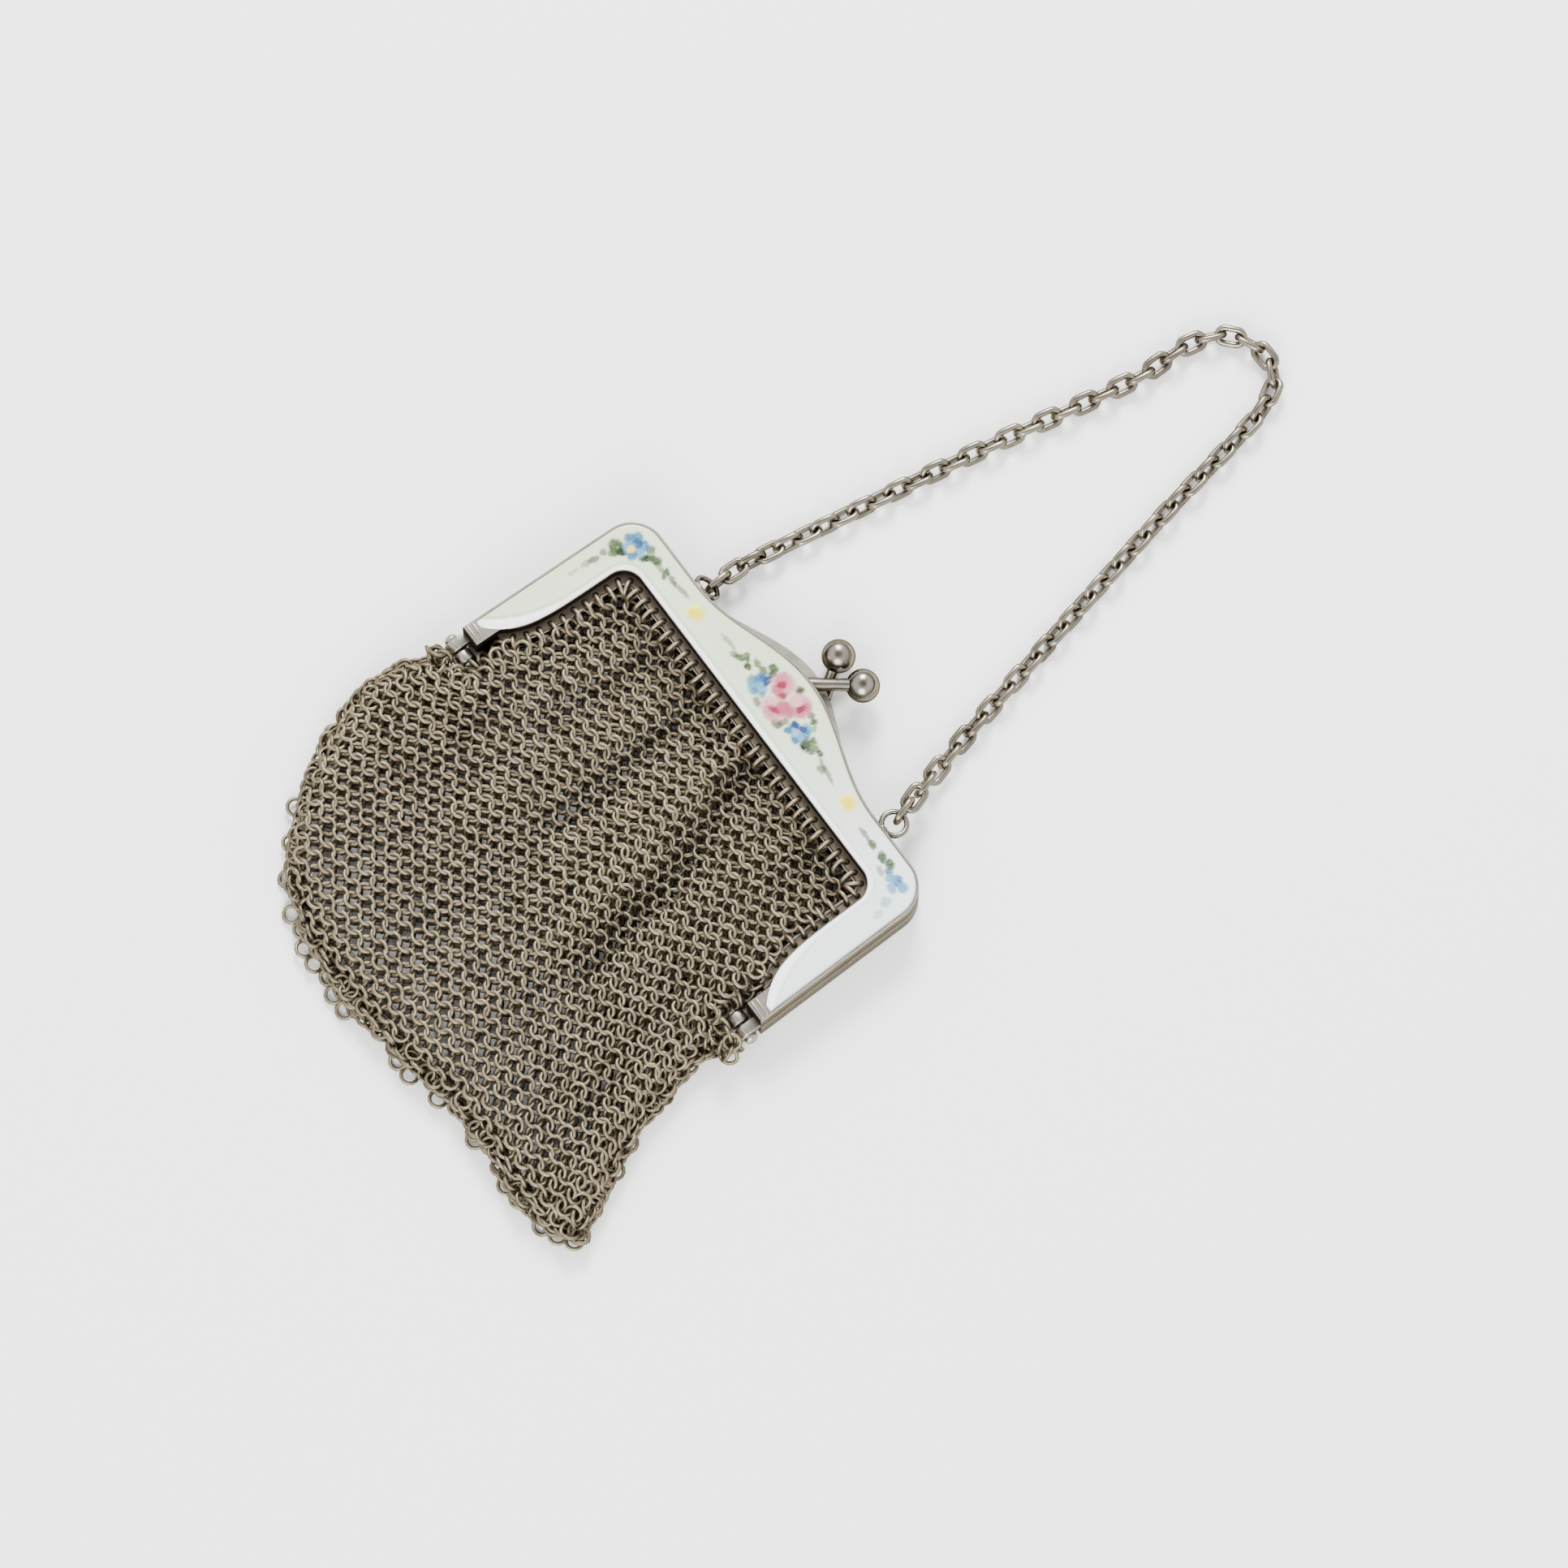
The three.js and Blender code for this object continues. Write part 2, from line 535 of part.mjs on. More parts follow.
/** Point of the bag's outline grid: share of the way across a section. */
function bagPoint(section, across) {
  const x = THREE.MathUtils.lerp(section.left, section.right, across);
  const drop = between(BAG_HEM, 'across', across, 'drop') * BAG_DROP * section.hem;
  return new THREE.Vector2(x, section.y - drop);
}

/** Height of the bag's front: folds between the valleys, rolled over at the sides and the hem. */
function frontHeight(point, section, across) {
  const down = THREE.MathUtils.clamp((MOUTH_TOP - point.y) / (MOUTH_TOP - SKIRT_TOP + BAG_DROP), 0, 1);
  const valley = FOLD_VALLEYS.reduce((sum, fold) => {
    const place = HALF_WIDTH * THREE.MathUtils.lerp(fold.mouth, fold.hem, down);
    const away = (point.x - place) / (HALF_WIDTH * fold.wide);
    return sum + fold.deep * Math.exp(-away * away);
  }, 0);
  const fullness = THREE.MathUtils.smoothstep(down, 0, FOLD_START) * (1 - FOLD_FADE * down);
  const full = BAG_HEIGHT + FOLD_HEIGHT * fullness * Math.max(0, 1 - valley);
  const width = section.right - section.left;
  const fromSide = Math.min(across, 1 - across) * width;
  const fromHem = (1 - section.hem ** (1 / HEM_CURVE)) * SKIRT_DOWN * BAG_DROP;
  const inward = THREE.MathUtils.clamp(Math.min(fromSide, fromHem) / EDGE_ROLL, 0, 1);
  const round = Math.sqrt(1 - (1 - inward) ** 2);
  return THREE.MathUtils.lerp(full, THREE.MathUtils.lerp(EDGE_HEIGHT, full, round), section.roll);
}

/** The bag as a hollow of ring mesh, open along the frame. */
function meshBag() {
  const sections = bagSections();
  const form = new THREE.BoxGeometry(2, 1, 1, BAG_COLUMNS, sections.length - 1, 1);
  const position = form.attributes.position;
  for (let v = 0; v < position.count; v += 1) {
    const row = Math.round((0.5 - position.getY(v)) * (sections.length - 1));
    const even = position.getX(v);
    const across = (1 + Math.sign(even) * (1 - (1 - Math.abs(even)) ** SIDE_CLOSING)) / 2;
    const point = bagPoint(sections[row], across);
    const top = frontHeight(point, sections[row], across);
    position.setXYZ(v, point.x, point.y, position.getZ(v) > 0 ? top : -SHEET);
  }
  const size = 4 * FRAME_WIDTH;
  const surface = new THREE.BoxGeometry(size, size, size).translate(0, 0, -size / 2);
  return solid(form).subtract(solid(surface)).subtract(bagHollow(sections));
}

/** Inside of the bag, running out past the mouth on the three sides that the frame holds. */
function bagHollow(sections) {
  const wall = SIDE_SHEETS * SHEET;
  const slope = EDGE_ROLL - wall - SHEET;
  const past = wall + slope + FLANGE_WIDTH;
  const inside = sections.slice(1, -1).filter(({ y, roll }) => roll === 0 || y < SKIRT_TOP - wall);
  const side = (share, sign) =>
    inside.map((section) => {
      const point = bagPoint(section, share);
      point.x += sign * (section.roll === 0 ? past : -wall);
      point.y += section.hem * wall;
      return point;
    });
  const last = sections[sections.length - 1];
  const inward = new THREE.Vector2(0, wall);
  const hem = BAG_HEM.slice(1, -1).map((row) => bagPoint(last, row.across).add(inward));
  const right = side(1, 1);
  const left = side(0, -1);
  const roof = MOUTH_TOP + past;
  const corners = [new THREE.Vector2(left[0].x, roof), new THREE.Vector2(right[0].x, roof)];
  const shape = new THREE.Shape([...corners, ...right, ...hem.reverse(), ...left.reverse()]);
  const height = BAG_HEIGHT - 2 * SHEET;
  const bevelThickness = height / 3;
  const depth = height - 2 * bevelThickness;
  const bevel = { bevelThickness, bevelSize: slope, bevelOffset: -slope, bevelSegments: 1 };
  const geometry = new THREE.ExtrudeGeometry(shape, { depth, bevelEnabled: true, ...bevel });
  return solid(geometry.translate(0, 0, SHEET + bevelThickness));
}

const group = new THREE.Group();

/** Adds a solid to the group as a named mesh in its own colour. */
function add(name, body, finish) {
  const mesh = new THREE.Mesh(geometryOf(body), new THREE.MeshStandardMaterial(COLOURS[finish]));
  mesh.name = name;
  group.add(mesh);
}

add('front_frame', frontFrame(), 'silver');
add('back_frame', backFrame(), 'silver');
add('front_enamel', enamelPanel(), 'enamel');
add('hinge_pin_right', hingePin(), 'silver');
add('hinge_pin_left', hingePin().mirror([1, 0, 0]), 'silver');
add('mesh_bag', meshBag(), 'tarnished');
add('wrist_chain', wristChain(), 'chain');

export default group;
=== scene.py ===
"""Ring-mesh coin purse: silver snap frame, painted enamel, ring mesh, ball clasp and wrist chain."""
import math
import random

import bmesh
import bpy
import numpy as np
from mathutils import Matrix, Vector, noise
from mathutils.bvhtree import BVHTree


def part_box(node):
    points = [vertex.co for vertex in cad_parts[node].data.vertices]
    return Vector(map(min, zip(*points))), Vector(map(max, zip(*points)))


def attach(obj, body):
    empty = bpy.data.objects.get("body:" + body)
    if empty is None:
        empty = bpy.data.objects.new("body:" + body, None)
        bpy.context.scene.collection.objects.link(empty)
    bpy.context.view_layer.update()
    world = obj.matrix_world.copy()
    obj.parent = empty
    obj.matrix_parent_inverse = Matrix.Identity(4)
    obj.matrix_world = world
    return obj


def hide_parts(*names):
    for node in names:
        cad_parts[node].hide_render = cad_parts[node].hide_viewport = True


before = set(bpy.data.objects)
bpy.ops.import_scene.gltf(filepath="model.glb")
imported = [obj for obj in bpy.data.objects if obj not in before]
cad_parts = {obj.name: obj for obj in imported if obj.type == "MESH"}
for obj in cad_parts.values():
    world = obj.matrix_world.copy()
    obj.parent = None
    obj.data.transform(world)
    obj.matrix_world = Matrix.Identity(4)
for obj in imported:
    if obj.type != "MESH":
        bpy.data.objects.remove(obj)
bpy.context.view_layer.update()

bl_info = {
    "name": "Ring-mesh coin purse",
    "version": (1, 0, 0),
    "blender": (4, 5, 0),
    "location": "View3D > Sidebar > Purse",
    "description": "Builds the frame, enamel, ring mesh, clasp and chain of a coin purse",
    "category": "Object",
}

MM = 0.001
TURN = 2 * math.pi

# Frame, in millimetres, as the solids have it
HALF_WIDTH = 35.1
ARM_FLARE = 0.6
RAIL_TOP = 3.05
RAIL_BOTTOM = -3.05
ARM_WIDTH = 5.8
ARM_REACH = 30.6
ARM_END = -27.55
ARM_END_WIDTH = 3.4
SHOULDER_RADIUS = 5.2
CORNER_RADIUS = 3.0
HUMP_SPAN = 42
FRONT_HUMP = (4.5, 0.0)
BACK_HUMP = (6.2, -1.5)
HALF_DEPTH = 3.5
FRONT_BASE = 3.8
FRONT_FACE = 7.3
WALL = 0.8
PLATE = 1.3
RIM = 0.35
INNER_RIM = 0.12
RECESS_DEPTH = 0.7
ENAMEL_TIP = -25.55
TIP_WIDTH = 1.6
TIP_CURVE = 6
FLANGE_WIDTH = 1.5
FLANGE_THICK = 0.7
FLANGE_END = -24.05
FRONT_FLANGE = 4.9
BACK_FLANGE = 1.7
STRIP_EDGE = 0.45
HOLE_DIAMETER = 0.9
HOLE_PITCH = 1.9

# Hinges and clasp
HINGE_Y = -29.45
HINGE_Z = 3.65
KNUCKLE_DIAMETER = 2.8
KNUCKLE_LENGTH = 1.8
KNUCKLE_OUTSIDE = 35.7
KNUCKLE_GAP = 0.3
LUG_THICK = 1.3
PIN_HEAD = 2.0
BALL_DIAMETER = 4.9
FRONT_BALL = (4.1, 13.55, 4.25)
BACK_BALL = (-1.7, 13.55, 3.05)
STEM_DIAMETER = 1.6
FRONT_STEM_ROOT = (-0.3, 7.15, 5.55)
BACK_STEM_ROOT = (1.6, 8.45, 1.75)

# Rings that hold the chain
LOOP_DIAMETER = 4.4
LOOP_WIRE = 0.8
LOOPS = [
    {"x": -20.6, "lean": -50},
    {"x": 23.2, "lean": -8},
]
LOOP_FOOT = (3.15, 5.55)

# Soft lights: name, place and size in metres, power
LIGHTS = [
    ("key", (-0.68, 0.5, 0.74), 0.4, 27),
    ("fill", (0.75, -0.7, 0.7), 0.7, 24),
]

# Route of the chain along the surface
CHAIN_ROUTE = [
    (-20.7, 11.4), (-18.4, 26), (-16.4, 38.5), (-13.9, 52.5), (-11.3, 65.5), (-9.9, 74),
    (-9.8, 81), (-7.9, 86.6), (-3.3, 89.4), (1.4, 88.8), (4.1, 84.8), (5.7, 78.5),
    (8.3, 64.5), (11.6, 49.5), (15, 34.5), (18.1, 21.3), (20.4, 13.2),
]
SETTLING_LINKS = 4
CHAIN_TWIST = 65
TWIST_EASE = 0.6

# Bag
MOUTH_TOP = -4.85
SKIRT_TOP = -31.15
SAMPLE = 0.5
SHEET_FLOOR = 0.3
FIRST_ROW = 2.2
FAN_START = 25
FAN = 0.005
ROW_DROOP = 0.004

# Silver reflects less along its silhouettes
EDGE_TINT = (0.22, 0.2, 0.165, 1)

# Colours of the painted garland, as seen
PAINTS = {
    "pale_pink": (0.75, 0.48, 0.52),
    "pink": (0.63, 0.32, 0.39),
    "deep_pink": (0.48, 0.12, 0.22),
    "pale_blue": (0.34, 0.55, 0.67),
    "blue": (0.19, 0.40, 0.57),
    "deep_blue": (0.14, 0.22, 0.40),
    "teal": (0.15, 0.40, 0.50),
    "pale_green": (0.36, 0.45, 0.28),
    "green": (0.22, 0.30, 0.17),
    "deep_green": (0.11, 0.16, 0.10),
    "yellow": (0.90, 0.80, 0.12),
    "pale_yellow": (0.95, 0.94, 0.36),
    "white": (0.86, 0.74, 0.76),
}

# Garland: each touch of paint has its place, its two radii, its turn in degrees, colour and strength
GARLAND = [
    # Middle leaves, behind the flowers
    (-4.7, 4.3, 0.8, 0.5, 20, "green", 1.0),
    (-4.1, 3.8, 0.5, 0.7, 0, "green", 1.0),
    (-5.3, 2.9, 0.8, 0.5, 0, "green", 0.91),
    (-6.6, 2.9, 0.7, 0.35, -10, "pale_green", 1.0),
    (-8.4, 2.3, 0.4, 0.55, 30, "pale_green", 1.0),
    (-7.1, 1.5, 0.45, 0.4, 0, "deep_green", 1.0),
    (-8.8, 1.4, 0.75, 0.4, 20, "green", 1.0),
    (-9.7, 1.0, 0.6, 0.35, 20, "green", 0.78),
    (-11.6, 1.5, 1.9, 0.16, 4, "green", 0.59),
    (-7.4, 1.9, 1.2, 0.2, -25, "green", 0.91),
    (0.1, 5.4, 0.55, 0.6, 0, "green", 0.91),
    (0.1, 5.2, 0.25, 0.35, 0, "deep_green", 0.78),
    (4.0, 4.5, 0.5, 0.55, 30, "green", 0.91),
    (5.0, 4.3, 0.4, 0.4, 0, "green", 1.0),
    (5.9, 3.7, 0.5, 0.25, -40, "pale_green", 0.78),
    (7.2, 2.6, 0.45, 0.4, 0, "deep_green", 0.91),
    (7.0, 1.2, 0.9, 0.7, -20, "deep_green", 1.0),
    (6.9, 1.7, 0.8, 0.5, 10, "green", 0.91),
    (8.2, 1.4, 0.45, 0.45, 0, "deep_green", 0.91),
    (8.2, 2.1, 0.8, 0.35, 0, "pale_green", 1.0),
    (9.2, 2.2, 0.4, 0.35, 0, "green", 1.0),
    (11.2, 1.0, 0.6, 0.5, 0, "green", 0.78),
    (11.9, 1.4, 2.6, 0.2, -10, "green", 0.73),
    (-2.1, -0.5, 0.75, 0.45, -15, "deep_green", 0.78),
    (2.1, -0.1, 0.8, 0.55, 15, "deep_green", 0.85),
    (2.4, 0.9, 0.45, 0.8, 0, "deep_green", 0.78),
    # Blue flower on the left
    (-4.8, 0.9, 1.0, 0.9, 0, "teal", 0.91),
    (-4.4, 1.9, 1.1, 0.9, 0, "blue", 1.0),
    (-3.4, 1.2, 1.0, 0.8, 0, "pale_blue", 1.0),
    (-3.9, 0.2, 0.9, 0.7, 0, "pale_blue", 0.91),
    (-3.7, 2.6, 0.45, 0.85, 25, "deep_blue", 1.0),
    (-4.4, 2.2, 0.6, 0.35, 0, "deep_blue", 0.65),
    (-2.5, 0.7, 0.35, 0.35, 0, "deep_blue", 0.65),
    (-3.7, 0.2, 0.35, 0.35, 0, "deep_blue", 0.59),
    # Blue flower on the right
    (5.2, 2.9, 0.9, 0.6, 0, "pale_blue", 1.0),
    (5.9, 2.2, 0.6, 0.6, 0, "teal", 0.91),
    (4.3, 1.4, 1.2, 0.9, 0, "blue", 1.0),
    (5.4, 1.0, 0.9, 0.8, 0, "pale_blue", 1.0),
    (4.9, 2.4, 0.5, 0.35, 20, "deep_blue", 1.0),
    (3.7, 1.9, 0.6, 0.35, 20, "deep_blue", 1.0),
    (3.8, 0.5, 0.5, 0.35, 0, "teal", 1.0),
    (5.7, 0.5, 0.45, 0.3, 0, "blue", 1.0),
    (4.6, 1.3, 0.4, 0.35, 0, "white", 0.3),
    # Rose on the left
    (-1.9, 4.0, 1.9, 1.85, 0, "pale_pink", 1.0),
    (-2.7, 4.4, 0.8, 1.0, 20, "pink", 0.59),
    (-1.4, 2.9, 1.3, 0.7, 15, "pink", 0.91),
    (-1.7, 4.4, 0.8, 0.8, 0, "pale_pink", 1.0),
    (-2.1, 3.9, 0.6, 0.75, -35, "pink", 1.0),
    (-2.1, 3.8, 0.35, 0.55, -35, "deep_pink", 1.0),
    (-0.7, 2.9, 0.5, 0.4, 40, "deep_pink", 0.91),
    # Rose on the right
    (1.9, 4.0, 1.85, 1.8, 0, "pale_pink", 1.0),
    (2.8, 3.8, 0.7, 1.3, 20, "pink", 0.78),
    (1.3, 2.3, 1.5, 0.8, 0, "pink", 1.0),
    (1.2, 4.0, 0.75, 0.9, -30, "white", 0.3),
    (2.4, 3.9, 0.38, 0.65, -10, "deep_pink", 1.0),
    (2.9, 4.9, 0.7, 0.4, -40, "pink", 0.65),
    # Rose below
    (0.0, 0.9, 2.0, 1.7, 0, "pale_pink", 1.0),
    (0.9, 2.0, 1.1, 0.8, 0, "pink", 1.0),
    (-1.0, 1.5, 0.8, 0.6, 30, "white", 0.3),
    (0.2, 0.8, 1.1, 0.5, 25, "pink", 1.0),
    (0.3, 0.8, 0.7, 0.28, 25, "deep_pink", 0.91),
    (0.4, -0.4, 1.2, 0.4, 10, "pink", 0.45),
    # Yellow flowers
    (-18.4, 0.7, 0.6, 0.55, 0, "pale_yellow", 1.0),
    (-17.3, 0.9, 0.6, 0.55, 0, "yellow", 0.78),
    (-17.0, 0.1, 0.6, 0.55, 0, "yellow", 0.78),
    (-18.6, -0.2, 0.55, 0.5, 0, "pale_yellow", 1.0),
    (-17.9, 0.0, 0.8, 0.75, 0, "yellow", 1.0),
    (16.8, 1.7, 0.55, 0.55, 0, "pale_yellow", 1.0),
    (17.9, 1.6, 0.6, 0.55, 0, "yellow", 0.78),
    (17.9, 0.7, 0.55, 0.55, 0, "yellow", 0.78),
    (16.7, 0.5, 0.55, 0.5, 0, "pale_yellow", 1.0),
    (17.3, 1.0, 0.7, 0.7, 0, "yellow", 1.0),
    # Left corner
    (-28.5, -0.7, 0.9, 0.54, 60, "deep_green", 1.0),
    (-29.1, 0.6, 0.6, 0.6, 0, "green", 0.91),
    (-27.5, 0.2, 1.02, 0.6, 30, "green", 0.98),
    (-25.0, 0.2, 0.36, 0.9, 35, "green", 0.98),
    (-23.6, 0.4, 0.96, 0.36, -10, "green", 0.78),
    (-21.9, 0.6, 1.92, 0.24, 5, "green", 0.73),
    (-26.4, 0.1, 1.56, 0.24, 0, "green", 0.73),
    (-32.3, -3.0, 1.32, 1.08, 20, "green", 1.0),
    (-31.9, -3.9, 0.6, 0.72, 0, "green", 0.91),
    (-31.2, -2.8, 0.54, 0.78, -20, "deep_green", 1.0),
    (-32.8, -5.0, 0.42, 0.42, 0, "green", 0.78),
    (-32.7, -6.7, 0.34, 0.84, -15, "green", 0.85),
    (-32.8, -8.0, 0.26, 0.96, 0, "green", 0.59),
    (-32.9, -10.2, 0.24, 0.84, 0, "green", 0.39),
    (-31.6, 0.1, 0.9, 0.78, 0, "teal", 1.0),
    (-30.2, 0.1, 0.9, 0.78, 0, "blue", 1.0),
    (-29.9, -0.9, 0.84, 0.72, 0, "pale_blue", 1.0),
    (-32.1, -0.8, 0.9, 0.78, 0, "blue", 1.0),
    (-31.2, -1.7, 0.84, 0.72, 0, "pale_blue", 1.0),
    (-30.0, -2.0, 0.72, 0.66, 0, "blue", 1.0),
    (-30.9, -0.3, 0.72, 0.54, 0, "deep_blue", 0.78),
    (-30.8, -1.6, 0.46, 0.42, 0, "yellow", 1.0),
    # Right corner
    (26.6, 0.3, 0.9, 0.5, -25, "green", 1),
    (28.1, 0.6, 0.8, 0.5, -10, "green", 1),
    (28.8, -0.2, 0.5, 0.45, 0, "teal", 0.94),
    (24.3, 0.3, 0.7, 0.38, -15, "green", 0.94),
    (22.6, 0.3, 1.5, 0.2, 0, "green", 0.8),
    (28.0, -1.1, 0.8, 0.3, -10, "pale_green", 0.75),
    (30.7, 0.0, 1.0, 0.7, 0, "blue", 1),
    (31.9, 0.0, 0.7, 0.6, 0, "pale_blue", 1),
    (29.8, -0.6, 0.7, 0.6, 0, "pale_blue", 1),
    (31.1, -1.3, 0.8, 0.5, 0, "pale_blue", 0.94),
    (32.1, -3.2, 0.6, 0.8, 0, "pale_blue", 0.65),
    (32.9, -5.0, 0.4, 0.8, 0, "pale_blue", 0.48),
]

# Soft folds of the bag: path down the cloth, depth (a negative one is a ridge) and half width
FOLDS = [
    {"path": [(-8.5, -6), (-7.2, -12), (-5.8, -28), (-5.5, -36)], "depth": 1.0, "width": 2.4},
    {"path": [(4.5, -6), (7.5, -16), (11, -24), (12, -33), (15.5, -46)], "depth": 1.3, "width": 2.6},
    {"path": [(1.2, -6), (2.5, -14), (5.2, -30), (9, -47)], "depth": -0.5, "width": 1.6},
    {"path": [(-17, -6), (-16, -14), (-17, -26)], "depth": 0.7, "width": 2.6},
    {"path": [(19, -6), (20.5, -13), (22, -20)], "depth": 0.8, "width": 2.4},
    {"path": [(-24, -31), (-22, -40), (-24, -52)], "depth": 0.6, "width": 2.6},
    {"path": [(24, -30), (27, -44), (33, -58)], "depth": 0.6, "width": 2.4},
]
HINGE_RINGS = [
    *[(x, -32.1, z) for x in (29.5, 31, 32.5, 34, 35.3) for z in (2.0, 3.9, 5.6)],
    *[(x, -33.4, z) for x in (31, 32.8, 34.6, 36) for z in (2.4, 4.4)],
    *[(30.4, y, z) for y in (-24.8, -26.2, -27.6, -29, -30.4) for z in (2.0, 5.0)],
    *[(29.2, y, 6.0) for y in (-26, -28, -30)],
]
ARM_RUNGS = 150
CORNER_RUNGS = 56
RAIL_RUNGS = 420
ACROSS = 52
DOME_STEPS = 8
SPREAD = 0.22
MOUTH_DIP = 0.9
MOUTH_REACH = 5.0


class FrameSettings(bpy.types.PropertyGroup):
    """Finish of the snap frame, its hinges and its clasp."""

    metal: bpy.props.FloatVectorProperty(
        name="Silver",
        description="Colour of the polished silver",
        subtype="COLOR",
        size=3,
        min=0,
        max=1,
        default=(0.44, 0.415, 0.36),
    )
    # Dull colour: real tarnish in patches, and painted shade where the silver faces down and on the walls at the
    # mouth.
    tarnish_and_shade: bpy.props.FloatVectorProperty(
        name="Tarnish",
        description="Colour of the dull film on the silver",
        subtype="COLOR",
        size=3,
        min=0,
        max=1,
        default=(0.13, 0.112, 0.086),
    )
    strip: bpy.props.FloatVectorProperty(
        name="Pierced strip",
        description="Colour of the dull strips that the mesh hangs on",
        subtype="COLOR",
        size=3,
        min=0,
        max=1,
        default=(0.185, 0.153, 0.116),
    )
    # Darker than the frame's silver: tarnish and painted shade on the balls.
    clasp: bpy.props.FloatVectorProperty(
        name="Clasp",
        description="Colour of the clasp balls and their stems",
        subtype="COLOR",
        size=3,
        min=0,
        max=1,
        default=(0.23, 0.21, 0.175),
    )
    edge: bpy.props.FloatProperty(
        name="Edge rounding",
        description="How far the frame's edges are rounded",
        unit="LENGTH",
        default=0.00015,
    )


class EnamelSettings(bpy.types.PropertyGroup):
    """Shape and ground colours of the enamel band."""

    ground: bpy.props.FloatVectorProperty(
        name="Ground",
        description="Colour of the enamel on the left and along the rail",
        subtype="COLOR",
        size=3,
        min=0,
        max=1,
        default=(0.60, 0.67, 0.50),
    )
    ground_right: bpy.props.FloatVectorProperty(
        name="Ground on the right",
        description="Colour of the enamel on the right arm",
        subtype="COLOR",
        size=3,
        min=0,
        max=1,
        default=(0.73, 0.77, 0.78),
    )
    dome_width: bpy.props.FloatProperty(
        name="Dome width",
        description="Width of the rounded margin",
        unit="LENGTH",
        default=0.0008,
    )
    dome_height: bpy.props.FloatProperty(
        name="Dome height",
        description="Height of the enamel above the rim",
        unit="LENGTH",
        default=0.00025,
    )
    softness: bpy.props.FloatProperty(
        name="Softness",
        description="Share of each touch of paint that fades into the ground",
        subtype="FACTOR",
        min=0.05,
        max=1,
        default=0.5,
    )


class RingSettings(bpy.types.PropertyGroup):
    """Rings of the mesh bag."""

    diameter: bpy.props.FloatProperty(
        name="Ring diameter",
        description="Outside diameter of a ring",
        unit="LENGTH",
        default=0.00305,
    )
    wire: bpy.props.FloatProperty(
        name="Wire",
        description="Diameter of the wire of a ring",
        unit="LENGTH",
        default=0.00061,
    )
    pitch: bpy.props.FloatProperty(
        name="Ring pitch",
        description="Distance between the rings of a row",
        unit="LENGTH",
        default=0.00272,
    )
    row_pitch: bpy.props.FloatProperty(
        name="Row pitch",
        description="Distance between rows",
        unit="LENGTH",
        default=0.0011,
    )
    lean: bpy.props.FloatProperty(
        name="Lean",
        description="Angle at which the rings of a row stand up from the cloth",
        subtype="ANGLE",
        default=math.radians(27),
    )
    # Bright side of each ring: painted light where it stands out, and rubbing.
    metal: bpy.props.FloatVectorProperty(
        name="Silver",
        description="Colour of the rings where they are rubbed bright",
        subtype="COLOR",
        size=3,
        min=0,
        max=1,
        default=(0.215, 0.182, 0.124),
    )
    # Deep side of each ring: painted shade, and tarnish.
    tarnish_and_shade: bpy.props.FloatVectorProperty(
        name="Tarnish",
        description="Colour of the rings in the depth of the mesh",
        subtype="COLOR",
        size=3,
        min=0,
        max=1,
        default=(0.12, 0.1, 0.066),
    )


class ChainSettings(bpy.types.PropertyGroup):
    """Links of the wrist chain."""

    pitch: bpy.props.FloatProperty(
        name="Link pitch",
        description="Distance from one link to the next",
        unit="LENGTH",
        default=0.003,
    )
    width: bpy.props.FloatProperty(
        name="Link width",
        description="Outside width of a link",
        unit="LENGTH",
        default=0.0032,
    )
    wire: bpy.props.FloatProperty(
        name="Wire",
        description="Diameter of the wire of a link",
        unit="LENGTH",
        default=0.00095,
    )
    metal: bpy.props.FloatVectorProperty(
        name="Silver",
        description="Colour of the links where they are bright",
        subtype="COLOR",
        size=3,
        min=0,
        max=1,
        default=(0.21, 0.188, 0.147),
    )


class StageSettings(bpy.types.PropertyGroup):
    """Camera, floor and lights."""

    azimuth: bpy.props.FloatProperty(
        name="Azimuth",
        description="Direction from which the camera looks",
        subtype="ANGLE",
        default=math.radians(53.7),
    )
    elevation: bpy.props.FloatProperty(
        name="Elevation",
        description="Height of the camera above the floor's horizon",
        subtype="ANGLE",
        default=math.radians(75),
    )
    distance: bpy.props.FloatProperty(
        name="Distance",
        description="Distance from the camera to the purse",
        unit="LENGTH",
        default=1.5,
    )
    width: bpy.props.FloatProperty(
        name="Width in view",
        description="Width that the picture shows at the purse",
        unit="LENGTH",
        default=0.221,
    )


def settings(name):
    """One group of settings of the present scene."""
    return getattr(bpy.context.scene, name)


def linear(colour):
    """A colour as seen, turned into the linear values that shaders take."""
    return [c / 12.92 if c <= 0.04045 else ((c + 0.055) / 1.055) ** 2.4 for c in colour]


# ---------------------------------------------------------------- shaders


def shader(name):
    """A new material with its main shader."""
    material = bpy.data.materials.new(name)
    material.use_nodes = True
    return material, material.node_tree.nodes["Principled BSDF"]


def node(material, kind, inputs=None, **options):
    """A shader node with its options and inputs set; an input may be a value or a socket."""
    made = material.node_tree.nodes.new(kind)
    for key, value in options.items():
        setattr(made, key, value)
    for key, value in (inputs or {}).items():
        if isinstance(value, bpy.types.NodeSocket):
            material.node_tree.links.new(value, made.inputs[key])
        else:
            made.inputs[key].default_value = value
    return made


def link(material, source, target):
    """Joins two sockets."""
    material.node_tree.links.new(source, target)


def mixed(material, factor, first, second, mode="MIX"):
    """One colour mixed with another."""
    inputs = {0: factor, 6: first, 7: second}
    return node(material, "ShaderNodeMix", inputs, data_type="RGBA", blend_type=mode).outputs[2]


def ranged(material, value, low, high, start=0.0, end=1.0, smooth=True):
    """A value brought from one range to another."""
    kind = "SMOOTHSTEP" if smooth else "LINEAR"
    inputs = {"Value": value, "From Min": low, "From Max": high, "To Min": start, "To Max": end}
    return node(material, "ShaderNodeMapRange", inputs, interpolation_type=kind).outputs["Result"]


def coordinates(material):
    """Object coordinates, which are the row's own."""
    return node(material, "ShaderNodeTexCoord").outputs["Object"]


